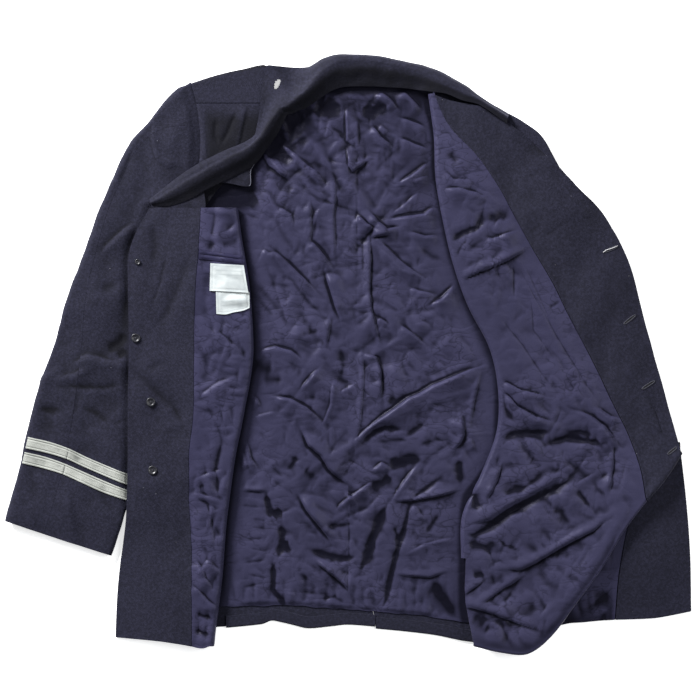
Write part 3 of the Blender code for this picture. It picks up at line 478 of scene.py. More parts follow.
def tube(name, points, radius, material, sides=8, flat=1.0, closed=False):
    """A round or flattened strand through points in millimetres."""
    points = np.array(points, dtype=float)
    after = np.roll(points, -1, axis=0) if closed else np.vstack([points[1:], points[-1:]])
    before = np.roll(points, 1, axis=0) if closed else np.vstack([points[:1], points[:-1]])
    ways = after - before
    ways /= np.maximum(np.linalg.norm(ways, axis=1, keepdims=True), 1e-9)
    sideways = np.cross(ways, [0.0, 0.0, 1.0])
    sideways /= np.maximum(np.linalg.norm(sideways, axis=1, keepdims=True), 1e-9)
    up = np.cross(sideways, ways)
    radii = np.broadcast_to(radius, len(points))[:, None, None]
    angles = np.linspace(0, 2 * np.pi, sides, endpoint=False)
    ring = (sideways[:, None] * np.cos(angles)[:, None]
            + up[:, None] * flat * np.sin(angles)[:, None])
    places = (points[:, None] + ring * radii).reshape(-1, 3) / 1000
    faces = []
    rings = len(points)
    for row in range(rings if closed else rings - 1):
        low, high = row * sides, (row + 1) % rings * sides
        for k in range(sides):
            after_k = (k + 1) % sides
            faces.append((low + k, low + after_k, high + after_k, high + k))
    if not closed:
        faces.append(tuple(range(sides))[::-1])
        faces.append(tuple((rings - 1) * sides + k for k in range(sides)))
    mesh = bpy.data.meshes.new(name)
    mesh.from_pydata(places.tolist(), [], faces)
    mesh.validate()
    mesh.shade_smooth()
    return finish_piece(bpy.data.objects.new(name, mesh), material)


# Materials

TWILL_TURN = 58
# Painted shade: the hollow depths for full darkening in wool and satin, and the colour the shade
# darkens towards.
WOOL_HOLLOW = 3.0
SATIN_HOLLOW = 1.5
PAINTED_SHADE_COLOUR = (0.001, 0.001, 0.0025, 1.0)
LINT_COLOUR = (0.34, 0.33, 0.36, 1.0)


def add_node(tree, kind, inputs=(), **settings):
    node = tree.nodes.new(kind)
    for name, value in settings.items():
        setattr(node, name, value)
    for name, value in dict(inputs).items():
        if isinstance(value, bpy.types.NodeSocket):
            tree.links.new(value, node.inputs[name])
        else:
            node.inputs[name].default_value = value
    return node


def mapped(tree, coordinates, scale, turn=0.0):
    return add_node(tree, "ShaderNodeMapping", {
        "Vector": coordinates, "Rotation": (0, 0, math.radians(turn)),
        "Scale": scale}).outputs["Vector"]


def ramp(tree, value, low, high, from_value, to_value):
    return add_node(tree, "ShaderNodeMapRange", {
        "Value": value, "From Min": low, "From Max": high, "To Min": from_value,
        "To Max": to_value}).outputs["Result"]


def mixed(tree, factor, first, second):
    node = add_node(tree, "ShaderNodeMix", data_type="RGBA", blend_type="MIX")
    for index, value in ((0, factor), (6, first), (7, second)):
        if isinstance(value, bpy.types.NodeSocket):
            tree.links.new(value, node.inputs[index])
        else:
            node.inputs[index].default_value = value
    return node.outputs[2]


def bumped(tree, shader, heights):
    """Stacks bumps, each a height socket, a strength and a distance in metres."""
    normal = None
    for height, strength, distance in heights:
        inputs = {"Height": height, "Strength": strength, "Distance": distance}
        if normal is not None:
            inputs["Normal"] = normal
        normal = add_node(tree, "ShaderNodeBump", inputs).outputs["Normal"]
    tree.links.new(normal, shader.inputs["Normal"])


def new_material(name, roughness, finish=()):
    """A material, its node tree and its shader, with numbers set on the shader's own sockets."""
    material = bpy.data.materials.new(name)
    material.use_nodes = True
    tree = material.node_tree
    shader = tree.nodes["Principled BSDF"]
    for socket, value in {"Roughness": roughness, **dict(finish)}.items():
        shader.inputs[socket].default_value = value
    return material, tree, shader


def rgb(red, green, blue):
    return (red, green, blue, 1.0)


def toned(colour, factor):
    return rgb(*(factor * part for part in colour))


def coordinates(tree):
    """The cloth's own lengths in metres, and the place in the object's frame."""
    node = add_node(tree, "ShaderNodeTexCoord")
    return node.outputs["UV"], node.outputs["Object"]


def cloudy(tree, vector, scale, detail, **more):
    """A noise field about 0.5."""
    return add_node(tree, "ShaderNodeTexNoise", {
        "Vector": vector, "Scale": scale, "Detail": detail, **more}).outputs["Fac"]


def ribbed(tree, vector, scale, distortion, detail, direction="X", **more):
    """A field of parallel ribs from 0 to 1."""
    return add_node(tree, "ShaderNodeTexWave", {
        "Vector": vector, "Scale": scale, "Distortion": distortion, "Detail": detail, **more},
        bands_direction=direction).outputs["Fac"]


def maths(tree, operation, *values):
    return add_node(tree, "ShaderNodeMath", dict(enumerate(values)), operation=operation).outputs[0]


def tinted(tree, base, rows):
    """Mixes colours over a base: each row has a field, its range, the shares there and a colour."""
    for value, low, high, from_share, to_share, colour in rows:
        base = mixed(tree, ramp(tree, value, low, high, from_share, to_share), base, colour)
    return base


def painted_shade_of(tree):
    return add_node(tree, "ShaderNodeAttribute", attribute_name="painted_shade").outputs["Fac"]


def shaded(tree, colour, depth, deepest):
    """Darkens a colour with painted shade in the hollows of the cloth and where the sheet's shade
    values lie.
    """
    return tinted(tree, colour, ((painted_shade_of(tree), 0.0, depth, 0.0, deepest, PAINTED_SHADE_COLOUR),))


def wool_material(name, dark, light):
    """Barathea: a fine steep twill under a short fuzz, with worn and linted places and painted
    shade in its hollows.
    """
    material, tree, shader = new_material(name, 0.82, {
        "Sheen Weight": 0.07, "Sheen Roughness": 0.45, "Sheen Tint": rgb(0.55, 0.56, 0.72),
        "Specular IOR Level": 0.12})
    uv, where = coordinates(tree)
    ribs = ribbed(tree, mapped(tree, uv, (1, 1, 1), TWILL_TURN), 190.0, 1.2, 2.0,
                  **{"Detail Scale": 3.0})
    threads = cloudy(tree, mapped(tree, uv, (1, 0.45, 1), TWILL_TURN), 1300.0, 3.0, Roughness=0.6)
    fuzz = cloudy(tree, where, 620.0, 4.0, Roughness=0.7)
    cloud = cloudy(tree, where, 9.0, 4.0, Roughness=0.55)
    mottle = cloudy(tree, where, 260.0, 3.0, Roughness=0.75)
    lint = add_node(tree, "ShaderNodeTexVoronoi", {
        "Vector": where, "Scale": 95.0, "Randomness": 1.0}, feature="F1").outputs["Distance"]
    speck = maths(tree, "MULTIPLY", ramp(tree, lint, 0.035, 0.055, 0.5, 0.0),
                  ramp(tree, cloudy(tree, where, 31.0, 2.0), 0.6, 0.66, 0.0, 1.0))
    base = tinted(tree, rgb(*dark), (
        (cloud, 0.3, 0.7, 0.0, 1.0, rgb(*light)), (mottle, 0.45, 0.7, 0.0, 0.8, toned(light, 2.3)),
        (mottle, 0.3, 0.5, 0.5, 0.0, toned(dark, 0.5)),
        (threads, 0.35, 0.75, 0.0, 0.55, toned(light, 1.9)),
        (ribs, 0.0, 0.5, 0.35, 0.0, toned(dark, 0.45))))
    # Painted shade: the colour darkens in the cloth's hollows and where the sheet's shade values
    # lie.
    base = shaded(tree, mixed(tree, speck, base, LINT_COLOUR), WOOL_HOLLOW, 0.85)
    tree.links.new(base, shader.inputs["Base Color"])
    bumped(tree, shader, ((mottle, 0.5, 0.0012), (ribs, 0.45, 0.00018), (threads, 0.5, 0.00016),
                          (fuzz, 0.35, 0.0003)))
    return material


def satin_material(name, dark, light, roughness):
    """Acetate twill lining: close weave, soft gloss, a fine net of creases drawn as bumps and as
    dark lines of painted shade, and painted shade in its hollows.
    """
    material, tree, shader = new_material(name, roughness, {
        "Sheen Weight": 0.05, "Sheen Roughness": 0.35, "Sheen Tint": rgb(0.62, 0.6, 0.85),
        "Specular IOR Level": 0.11, "Specular Tint": rgb(0.72, 0.7, 1.0)})
    uv, where = coordinates(tree)
    ribs = ribbed(tree, mapped(tree, uv, (1, 1, 1), 32), 340.0, 0.6, 1.0, **{"Detail Scale": 2.0})
    threads = cloudy(tree, mapped(tree, uv, (0.35, 1, 1)), 1500.0, 2.0, Roughness=0.5)
    cloud = cloudy(tree, where, 11.0, 3.0, Roughness=0.55)
    wrinkles = []
    for scale, turn, stretch in ((38.0, 25, 0.5), (85.0, -40, 0.6)):
        folds = cloudy(tree, mapped(tree, where, (stretch, 1, 1), turn), scale, 1.0, Roughness=0.4,
                       Distortion=0.7)
        wrinkles.append(maths(tree, "ABSOLUTE", maths(tree, "SUBTRACT", folds, 0.5)))
    base = tinted(tree, rgb(*dark), ((cloud, 0.32, 0.68, 0.0, 1.0, rgb(*light)),
                                     (threads, 0.35, 0.75, 0.0, 0.3, toned(light, 1.6))))
    # Painted shade: dark lines along the creases, in patches.
    shaded_crease_patches = ramp(tree, cloud, 0.45, 0.58, 0.0, 0.55)
    for wrinkle, line_width in zip(wrinkles, (0.02, 0.03)):
        line = maths(tree, "MULTIPLY", ramp(tree, wrinkle, 0.0, line_width, 1.0, 0.0), shaded_crease_patches)
        base = mixed(tree, line, base, toned(dark, 0.3))
    # Painted shade in the cloth's hollows.
    tree.links.new(shaded(tree, base, SATIN_HOLLOW, 0.9), shader.inputs["Base Color"])
    tree.links.new(ramp(tree, cloud, 0.3, 0.7, roughness - 0.05, roughness + 0.08),
                   shader.inputs["Roughness"])
    bumped(tree, shader, ((wrinkles[0], 0.4, 0.005), (wrinkles[1], 0.3, 0.0016),
                          (ribs, 0.3, 0.00009), (threads, 0.3, 0.00008)))
    return material


def braid_material():
    """Flat metal braid: fine lengthwise cords over a slightly warm silver ground, with painted
    shade in its hollows.
    """
    material, tree, shader = new_material("silver_braid", 0.5, {
        "Specular IOR Level": 0.45, "Sheen Weight": 0.08})
    uv, where = coordinates(tree)
    cords = ribbed(tree, uv, 520.0, 0.3, 1.0, "Y")
    twist = ribbed(tree, mapped(tree, uv, (1, 1, 1), 38), 460.0, 0.8, 1.0)
    # The last row is painted shade in the braid's hollows and along its joint groove.
    base = tinted(tree, rgb(0.27, 0.28, 0.255), (
        (cloudy(tree, where, 60.0, 3.0), 0.3, 0.7, 0.0, 1.0, rgb(0.35, 0.36, 0.335)),
        (cords, 0.0, 0.4, 0.35, 0.0, rgb(0.20, 0.21, 0.19)),
        (twist, 0.0, 0.5, 0.25, 0.0, rgb(0.24, 0.25, 0.24)),
        (painted_shade_of(tree), 0.03, 0.22, 0.0, 0.85, rgb(0.07, 0.075, 0.07))))
    tree.links.new(base, shader.inputs["Base Color"])
    bumped(tree, shader, ((cords, 0.5, 0.0002), (twist, 0.4, 0.00015)))
    return material


def label_material():
    """Damask label tape: close satin weave, a woven edge line and bare ruled bars."""
    material, tree, shader = new_material("label_tape", 0.6, {"Specular IOR Level": 0.3})
    uv, where = coordinates(tree)
    weft = ribbed(tree, uv, 700.0, 0.4, 1.0, "Y")
    grey = cloudy(tree, where, 90.0, 4.0)
    rule = add_node(tree, "ShaderNodeAttribute", attribute_name="rule").outputs["Fac"]
    base = tinted(tree, rgb(0.34, 0.37, 0.38), (
        (grey, 0.35, 0.7, 0.0, 1.0, rgb(0.42, 0.45, 0.45)),
        (weft, 0.0, 0.5, 0.18, 0.0, rgb(0.42, 0.45, 0.47))))
    base = mixed(tree, rule, base, rgb(0.20, 0.23, 0.24))
    tree.links.new(base, shader.inputs["Base Color"])
    bumped(tree, shader, ((weft, 0.4, 0.0001), (grey, 0.3, 0.0003)))
    return material


def plastic_material():
    material, tree, shader = new_material("dark_plastic", 0.35)
    scuffs = cloudy(tree, coordinates(tree)[1], 900.0, 3.0)
    base = tinted(tree, rgb(0.006, 0.006, 0.010), (
        (scuffs, 0.45, 0.75, 0.0, 0.6, rgb(0.022, 0.022, 0.030)),))
    tree.links.new(base, shader.inputs["Base Color"])
    tree.links.new(ramp(tree, scuffs, 0.3, 0.7, 0.28, 0.5), shader.inputs["Roughness"])
    bumped(tree, shader, ((scuffs, 0.3, 0.0001),))
    return material


def thread_material(name, colour):
    material, tree, shader = new_material(name, 0.75)
    ply = cloudy(tree, coordinates(tree)[1], 2600.0, 2.0)
    base = tinted(tree, toned(colour, 0.6), ((ply, 0.3, 0.7, 0.0, 1.0, rgb(*colour)),))
    tree.links.new(base, shader.inputs["Base Color"])
    bumped(tree, shader, ((ply, 0.6, 0.0002),))
    return material


# The cloth's relief. A row of crumple or of swells is as those functions say. A crease has half
# its width, its rise or fall in millimetres, its lean, and the places that its line runs through.

BACK_CRUMPLE = ((5.0, 30, 11, 62), (2.3, 16, 23, -35), (1.2, 9, 37, 20))
FRONT_RIGHT_CRUMPLE = ((5.0, 24, 41, 80), (3.0, 12, 45, 15))
FRONT_LEFT_CRUMPLE = ((5.2, 32, 51, -32), (2.9, 17, 57, -20), (1.5, 9, 65, 40))
FLAP_CRUMPLE = ((2.2, 15, 75, 80),)
FACING_RIGHT_SWELLS = ((3.4, 42, 64, 31), (0.7, 15, 22, 33))
FACING_LEFT_SWELLS = ((3.6, 44, 60, 61), (0.7, 14, 20, 63))
SHOULDER_SWELLS = ((0.8, 24, 24, 71),)
COLLAR_SWELLS = ((0.5, 14, 10, 81),)
LAPEL_SWELLS = ((0.7, 22, 22, 91),)
FACING_TOP_SWELLS = ((0.6, 14, 14, 93),)
SLEEVE_SWELLS = ((3.6, 38, 54, 95), (0.8, 14, 19, 97))
BACK_LINING_CREASES = [
    (3, 3.5, .6, 270, 248, 290, 266, 317, 293),
    (5, -2, 0, 251, 280, 268, 297, 284, 318),
    (3, -1.5, 0, 251, 291, 275, 318),
    (3, -1.5, 0, 290, 278, 305, 298, 325, 318),
    (5, 4, .5, 309, 240, 318, 250, 330, 266),
    (5, 4.5, -.5, 326, 272, 332, 290, 341, 319),
    (2.5, 2, .5, 334, 178, 335, 200, 333, 215, 334, 235, 335, 262),
    (3, 2, .4, 310, 200, 310, 230, 309, 248),
    (5, -1.5, 0, 290, 180, 287, 200, 288, 212),
    (4, -1.5, 0, 266, 186, 277, 205, 283, 216),
    (1.8, -1, 0, 302, 190, 330, 203, 360, 212),
    (2.5, 2.5, .4, 280, 142, 300, 160, 315, 176),
    (2, 2, .4, 300, 158, 318, 175, 327, 187),
    (3, 2.5, -.4, 262, 152, 270, 165, 287, 178),
    (2, 2, -.4, 266, 155, 280, 172, 290, 180),
    (9, -5, 0, 264, 150, 280, 155, 296, 162),
    (9, -7, 0, 312, 110, 328, 110, 342, 104),
    (8, -7, 0, 362, 106, 372, 112, 388, 104),
    (8, -5, 0, 285, 130, 296, 122, 306, 120),
    (2.5, 2.5, -.6, 346, 108, 347, 140, 356, 146),
    (2, 2, .6, 357, 120, 358, 146),
    (2, -1.5, 0, 330, 126, 340, 132, 345, 142),
    (3, 3.5, -.5, 347, 148, 350, 165, 353, 170, 370, 158),
    (3, 3.5, .5, 372, 125, 380, 137, 393, 148),
    (2, 1.5, .4, 380, 125, 388, 132),
    (3, 3, .5, 400, 138, 415, 145, 431, 150),
    (4, 4, -.5, 432, 160, 420, 170, 412, 176, 398, 184),
    (2, 2, -.5, 430, 175, 412, 181),
    (4, 3.5, .5, 378, 90, 390, 100, 397, 108),
    (4, 3.5, .5, 400, 88, 412, 100, 424, 112),
    (3, 2.5, .5, 400, 118, 420, 125, 430, 130),
    (5, 4.5, -.6, 437, 200, 434, 208, 425, 215, 405, 218, 388, 220),
    (2, 1.5, .3, 392, 214, 405, 205, 418, 192),
    (3, 4, .6, 357, 215, 367, 225, 375, 230),
    (3, 4, .6, 370, 213, 378, 222, 387, 230, 400, 227),
    (3, 3.5, -.6, 372, 236, 390, 233),
    (3, 3, .4, 378, 240, 390, 252, 400, 262, 413, 272, 427, 280),
    (2, 2, .4, 380, 248, 395, 262, 402, 270, 412, 273),
    (2.5, 2, .4, 409, 288, 420, 292, 436, 295),
    (5, 4.5, -.6, 456, 282, 452, 290, 442, 300, 430, 306),
    (2.5, 3, .6, 369, 232, 370, 260, 369, 290, 371, 310, 376, 330, 380, 345),
    (1.6, -.9, 0, 357, 150, 357, 276),
    (1.6, -.7, 0, 363, 232, 363, 276),
    (3, 3, .5, 400, 325, 415, 337, 425, 345),
    (2, 2, .4, 378, 318, 388, 324),
    (3, 2, .4, 408, 232, 425, 237, 441, 236),
    (4, -2, 0, 420, 247, 432, 256, 444, 260),
    (4, -2, 0, 300, 335, 320, 330),
    (3, 2, .3, 262, 250, 268, 254, 276, 254),
    (3, 2, .4, 275, 205, 290, 215, 294, 230),
    (9, -2.5, 0, 246, 204, 258, 196),
    (2, -1.5, 0, 241, 212, 258, 218),
    (5, -1.5, 0, 276, 272, 272, 290),
    (2.5, 2, .4, 330, 318, 326, 345),
    (4, 3, .5, 257, 352, 275, 348, 290, 352, 297, 357, 303, 363),
    (8, -4, 0, 253, 360, 262, 368, 274, 371),
    (6, -3, 0, 262, 379, 284, 380),
    (4, 3, -.5, 318, 370, 308, 382, 300, 390),
    (3.5, 4, .5, 273, 397, 290, 400, 305, 408, 320, 420),
    (2, 2, -.4, 333, 380, 331, 405, 325, 420, 320, 426),
    (5, -3, 0, 340, 347, 343, 365, 341, 382),
    (3, 2, .4, 340, 393, 355, 385),
    (3, 4, .6, 363, 354, 376, 358, 380, 370, 381, 400),
    (2, 1.5, .4, 362, 345, 363, 380, 360, 420, 355, 450),
    (5, 5.5, -.6, 484, 366, 470, 371, 450, 380, 433, 387, 420, 395, 408, 400, 395, 410, 378, 422,
     365, 432, 357, 440, 356, 450),
    (5, -3, 0, 385, 402, 400, 400, 410, 393),
    (5, -5, 0, 362, 443, 375, 432, 385, 428, 404, 430),
    (4, -3, 0, 425, 423, 415, 430, 405, 437),
    (4, -2, 0, 376, 442, 395, 440, 410, 440),
    (4, -2, 0, 420, 445, 435, 440, 445, 440),
    (7, -7, 0, 388, 458, 398, 464, 410, 459, 424, 461),
    (7, -6, 0, 370, 489, 382, 483, 394, 476),
    (3, 3, .4, 372, 472, 382, 464, 392, 470),
    (4, 3.5, .4, 461, 415, 463, 435, 460, 442, 453, 450),
    (2, 2, .4, 480, 375, 474, 400, 470, 425),
    (2, 2, .4, 470, 438, 475, 450),
    (5, -5, 0, 458, 458, 460, 470, 461, 486),
    (5, 5, -.6, 302, 430, 310, 445, 322, 455, 330, 468, 340, 478, 350, 484),
    (4, -3, 0, 297, 455, 292, 465, 287, 472),
    (6, -3, 0, 303, 470, 315, 478),
    (1.8, -1, 0, 263, 462, 275, 470, 285, 480),
    (3, 3, .5, 245, 440, 250, 460, 258, 470),
    (3, 3, .5, 241, 450, 248, 470),
    (3, 4, .5, 246, 390, 256, 400, 260, 408),
    (2, 1.2, .4, 255, 417, 275, 412),
    (2, 2.5, -.5, 242, 490, 266, 491),
    (4, -6, 0, 266, 494, 268, 505, 271, 520),
    (6, -7, 0, 272, 516, 283, 512),
    (5, -6, 0, 281, 524, 282, 545, 277, 560),
    (4, -4, 0, 284, 540, 290, 555),
    (4, -6, 0, 273, 560, 273, 590, 283, 605, 288, 614),
    (1.8, -1.2, 0, 240, 505, 262, 508),
    (1.8, -1.2, 0, 252, 519, 268, 521),
    (1.8, -1.2, 0, 250, 527, 268, 529),
    (2, -1.4, 0, 246, 540, 266, 538),
    (1.8, -1.2, 0, 250, 549, 269, 551),
    (2.2, -1.5, 0, 244, 563, 266, 560),
    (2, -1.3, 0, 250, 575, 270, 579),
    (2.4, -1.5, 0, 242, 588, 264, 583),
    (2, -1.2, 0, 236, 600, 246, 612),
    (5, 5, -.7, 300, 497, 308, 510, 318, 522, 328, 535, 332, 542),
    (4, -3.5, 0, 325, 527, 340, 526, 352, 524),
    (5, -5, 0, 308, 549, 322, 555, 340, 559, 360, 558),
    (3, 4, -.6, 315, 560, 330, 572, 345, 585, 352, 595),
    (1.6, -1.6, 0, 348, 500, 349, 540, 348, 590, 347, 611),
    (2.5, 3, .5, 337, 509, 350, 497, 357, 504),
    (2.5, 3, .5, 345, 490, 350, 498, 362, 490, 372, 482),
    (6, -8, 0, 388, 502, 380, 520, 372, 540, 368, 558, 357, 574),
    (3.5, -6, 0, 410, 504, 404, 530, 396, 555, 390, 580, 386, 600, 380, 615),
    (2.4, 2.5, -.5, 394, 574, 430, 577, 448, 571),
    (7, -7, 0, 432, 580, 440, 595, 450, 608, 458, 620),
    (3, 4, -.5, 395, 501, 411, 500, 430, 497, 445, 494, 460, 490),
    (3, -3, 0, 411, 500, 425, 490, 440, 478),
    (3, 3, .4, 393, 500, 405, 482, 418, 465),
    (3, 2, .4, 413, 505, 420, 515, 424, 520),
    (4, -3, 0, 425, 535, 435, 520, 440, 513),
    (3, -3, 0, 393, 525, 397, 535, 396, 546),
    (2, 1.5, .4, 405, 555, 425, 545, 445, 540, 462, 538),
    (3, -2.5, 0, 320, 600, 335, 597, 345, 605),
    (3, -2.5, 0, 330, 610, 347, 611),
    (3, -1.6, 0, 300, 592, 330, 595),
]
FRONT_RIGHT_CREASES = [
    (1.6, -1.2, 0, 168, 250, 160, 285, 150, 312),
    (7, -2.4, 0, 153, 222, 155, 245, 152, 268),
    (8, -2.4, 0, 192, 250, 180, 285, 168, 312, 153, 330),
    (7, -3, 0, 128, 366, 148, 384, 168, 403, 188, 435),
    (4, 1.8, .2, 168, 403, 184, 430),
    (6, -1.4, 0, 145, 370, 168, 362),
    (5, -1.2, 0, 148, 460, 160, 480),
    (5, 3, .4, 196, 560, 204, 578, 212, 590),
    (5, 3, .4, 192, 585, 205, 600, 218, 612),
    (4, 3, .2, 206, 560, 220, 574),
    (6, 2.5, .3, 212, 330, 228, 344, 240, 352),
    (7, 2.5, .3, 200, 400, 216, 388, 232, 380),
    (5, 2, .3, 196, 480, 226, 470),
    (5, 2.5, .3, 205, 500, 210, 530, 214, 550),
    (4, -3, 0, 196, 612, 212, 618),
    (4, -3, 0, 194, 630, 212, 634),
    (4, -2.5, 0, 222, 440, 216, 470, 220, 500),
]
FRONT_LEFT_CREASES = [
    (2.4, 3.5, -.7, 457, 281, 480, 270, 500, 262, 520, 252, 527, 247),
    (5, -4, 0, 448, 243, 463, 233, 478, 228, 484, 205),
    (3, 3, .5, 485, 238, 492, 241, 505, 236, 515, 232),
    (8, -3, 0, 486, 222, 500, 215, 511, 219),
    (4, 3, .4, 443, 190, 460, 191, 475, 195, 487, 200),
    (2.4, -1.5, 0, 455, 258, 462, 245, 470, 238),
    (2, -1.3, 0, 513, 265, 514, 300),
    (1.8, -1.4, 0, 548, 308, 560, 301),
    (3, 1.6, .4, 525, 270, 540, 305, 552, 330),
    (3, -1.8, 0, 496, 266, 499, 278),
    (5, -2, 0, 450, 150, 458, 165),
    (4, 2, .4, 444, 172, 452, 182, 470, 181),
    (1.8, -.9, 0, 440, 92, 459, 101, 485, 105, 503, 119),
    (1.8, -.9, 0, 513, 133, 535, 145, 552, 162),
    (10, -2.2, 0, 528, 140, 540, 150, 548, 157),
    (2, -.7, 0, 527, 178, 541, 172),
    (2, -.8, 0, 540, 238, 571, 221),
    (2, -.7, 0, 575, 208, 590, 203),
    (2, -.7, 0, 583, 220, 594, 216),
    (2.2, -.7, 0, 480, 110, 477, 140),
    (2.2, -.7, 0, 505, 140, 497, 165),
    (12, -1.8, 0, 602, 262, 612, 300, 620, 335),
    (12, -1.2, 0, 505, 195, 545, 205),
    (1.8, -1.3, 0, 521, 272, 536, 300, 556, 336, 578, 372, 598, 402),
    (1.8, -1.2, 0, 500, 318, 522, 345, 540, 372, 556, 392),
    (1.6, -1, 0, 531, 300, 533, 330, 553, 358),
    (6, -4.5, 0, 500, 388, 505, 408, 515, 424),
    (3, 3.5, .5, 498, 380, 520, 392, 548, 398),
    (4, 4.5, .5, 500, 388, 515, 408, 535, 419, 556, 424),
    (7, -7, 0, 502, 440, 515, 434, 540, 433, 552, 429),
    (5, -6, 0, 545, 445, 565, 438, 585, 441, 600, 443, 606, 441),
    (4, -3, 0, 560, 430, 580, 432, 595, 436),
    (4, 4, .5, 573, 410, 590, 418, 603, 428, 612, 440, 620, 448),
    (3, 3, .5, 595, 408, 610, 418, 620, 420),
    (2.5, 3, .5, 612, 445, 611, 470, 608, 495),
    (6, -7, 0, 462, 534, 475, 535, 490, 527, 510, 513, 530, 503, 550, 492, 565, 483, 575, 472,
     583, 462),
    (6, 3.5, -.1, 468, 522, 490, 516, 510, 502, 530, 492, 550, 481, 566, 470),
    (2, 1.5, .4, 575, 485, 597, 472),
    (3, -3, 0, 575, 488, 585, 502, 592, 508),
    (4, 5, -.6, 500, 568, 520, 567, 535, 560, 555, 548, 575, 537, 592, 529, 603, 520, 610, 515),
    (1.8, -1, 0, 540, 502, 550, 515, 565, 524),
    (3, 3, -.5, 455, 600, 470, 588, 485, 577),
    (3, 3.5, -.5, 478, 604, 500, 588, 523, 574),
    (4, 4.5, -.6, 455, 603, 475, 606, 495, 612, 515, 620, 540, 628),
    (8, -5, 0, 500, 493, 520, 490, 535, 480, 547, 466),
    (3, 3.5, .5, 500, 465, 495, 480, 485, 500),
    (3, -3, 0, 494, 440, 497, 465),
    (7, -5, 0, 466, 542, 485, 547, 500, 541),
    (2, -1.5, 0, 495, 535, 505, 545, 520, 550),
    (5, -3, 0, 472, 577, 486, 573),
    (9, -3, 0, 472, 612, 484, 622, 494, 634),
    (6, -5, 0, 472, 490, 478, 512),
    (2, -1.6, 0, 484, 545, 492, 556),
    (3, 2, .4, 640, 395, 652, 412, 662, 438),
    (2.4, 1.4, .4, 672, 588, 684, 595, 690, 604),
]
SHOULDER_CREASES = [
    (3, -2, 0, 216, 118, 215, 135, 219, 146),
    (3, -2, 0, 236, 112, 228, 132, 220, 146),
    (4, 1.6, .3, 200, 112, 204, 140, 206, 160),
    (5, 2, .2, 246, 104, 240, 130, 236, 150),
    (4, 1.2, .3, 204, 165, 226, 150),
]
COLLAR_CREASES = [
    (4, .8, 0, 384, 60, 392, 70),
    (2, -.9, 0, 259, 89, 264, 96, 268, 101),
    (3, 1, .3, 262, 74, 270, 88),
]
LAPEL_CREASES = [
    (5, 1, .2, 184, 180, 230, 158),
]
SLEEVE_RIGHT_CREASES = [
    (2.5, 2.5, -.5, 154, 121, 152, 137, 157, 158, 165, 165, 190, 166),
    (6, 3.5, -.6, 136, 223, 120, 236, 100, 255),
    (6, -1.8, 0, 128, 278, 112, 286, 98, 292),
    (7, -5, 0, 129, 335, 118, 344, 106, 353),
    (5, -5, 0, 128, 350, 117, 358),
    (6, 4, .5, 72, 365, 88, 357, 105, 362, 128, 366),
    (3, 3, .5, 54, 380, 75, 374, 90, 367),
    (2.4, -2.2, 0, 62, 385, 85, 387, 105, 387, 128, 383),
    (2.4, 1.6, .4, 53, 388, 64, 394, 73, 399),
    (3, -2.4, 0, 37, 409, 62, 411),
    (4, -1.8, 0, 78, 406, 95, 412, 110, 424),
    (2, -2, 0, 112, 424, 128, 419),
    (2, -1.2, 0, 62, 431, 80, 433),
    (2.4, 1.4, .4, 90, 425, 100, 438, 110, 450),
    (3, 1.8, .2, 40, 383, 60, 365),
    (1.6, -1, 0, 83, 380, 76, 410, 70, 435, 67, 447),
    (3, 1.2, .3, 60, 325, 75, 340),
    (8, -3, 0, 126, 292, 126, 320, 127, 350),
    (3, 2, .3, 35, 470, 43, 480, 53, 493),
    (3, 1.6, .3, 68, 489, 77, 538),
    (3, 1.8, .3, 96, 497, 104, 508, 112, 520),
    (5, -1.8, 0, 132, 150, 126, 170, 118, 190),
]

LINING_SEAM = 348.0
LINING_ROWS = 400
LINING_HEM = Table("x photo_y", [
    (160, 612), (276, 606), (346, 610), (372, 612), (417, 616), (458, 622), (497, 624), (550, 612)])
LINING_TOP = Table("x photo_y", [
    (196, 118), (262, 112), (312, 96), (330, 86), (348, 83), (388, 83), (434, 98), (508, 128)])

FRONT_RIGHT = Table("photo_y edge_x edge_z middle_x middle_z seam_x fold_x", [
    (208, 150, 10.6, 172, 12.0, 201, 238), (225, 140, 10.2, 170, 11.6, 200, 240),
    (245, 131, 10.0, 168, 11.2, 199, 243), (262, 128, 10.0, 165, 11.2, 197.5, 246),
    (300, 128.5, 10.0, 165, 11.6, 195, 251), (350, 129, 10.0, 163, 11.6, 194, 253.5),
    (409, 128, 10.4, 162, 11.8, 194, 245), (457, 128, 10.8, 160, 11.8, 189, 235.5),
    (500, 127, 10.6, 158, 11.6, 189, 229.5), (520, 126, 9.2, 155, 10.6, 190.5, 227),
    (544, 123, 5.0, 153, 9.4, 192, 225), (582, 118, 1.8, 152, 9.0, 192, 222),
    (616, 116, 1.4, 151, 8.8, 192, 217.5), (648, 115, 1.3, 151, 8.8, 192, 214)])
FRONT_RIGHT_HEM = Table("x photo_y", [(115, 638), (157, 641), (186, 645), (205, 648), (216, 645)])


def fold_right(photo_y):
    return FRONT_RIGHT.at("fold_x", photo_y)


def front_right_height(photo_x, photo_y):
    """The height of the right front's wool where it lies with its inside up."""
    row = {name: FRONT_RIGHT.at(name, photo_y) for name in FRONT_RIGHT.values}
    flat_end = row["fold_x"] - 5
    return through((row["edge_x"], row["middle_x"], row["seam_x"], flat_end),
                   (row["edge_z"], row["middle_z"], FRONT_Z - 0.6, FRONT_Z), photo_x)

FRONT_LEFT = Table("photo_y fold_x seam_x edge_x", [
    (95, 428, 434, 488), (110, 428, 437, 500), (121, 431, 444, 510), (141, 434, 465, 531),
    (157, 434, 478, 549), (175, 435, 491, 565), (186, 437, 498, 577), (198, 439, 505, 589),
    (210, 441, 511, 601), (222, 443, 518, 609), (246, 448, 531, 622), (270, 455, 546, 632),
    (306, 468, 564, 642), (342, 487, 583, 651), (378, 498, 601, 661), (420, 497, 621, 672),
    (450, 495, 635, 680), (474, 481, 641, 682), (500, 464, 645, 684), (540, 461, 650, 687),
    (600, 461, 655, 690), (650, 470, 660, 692)])
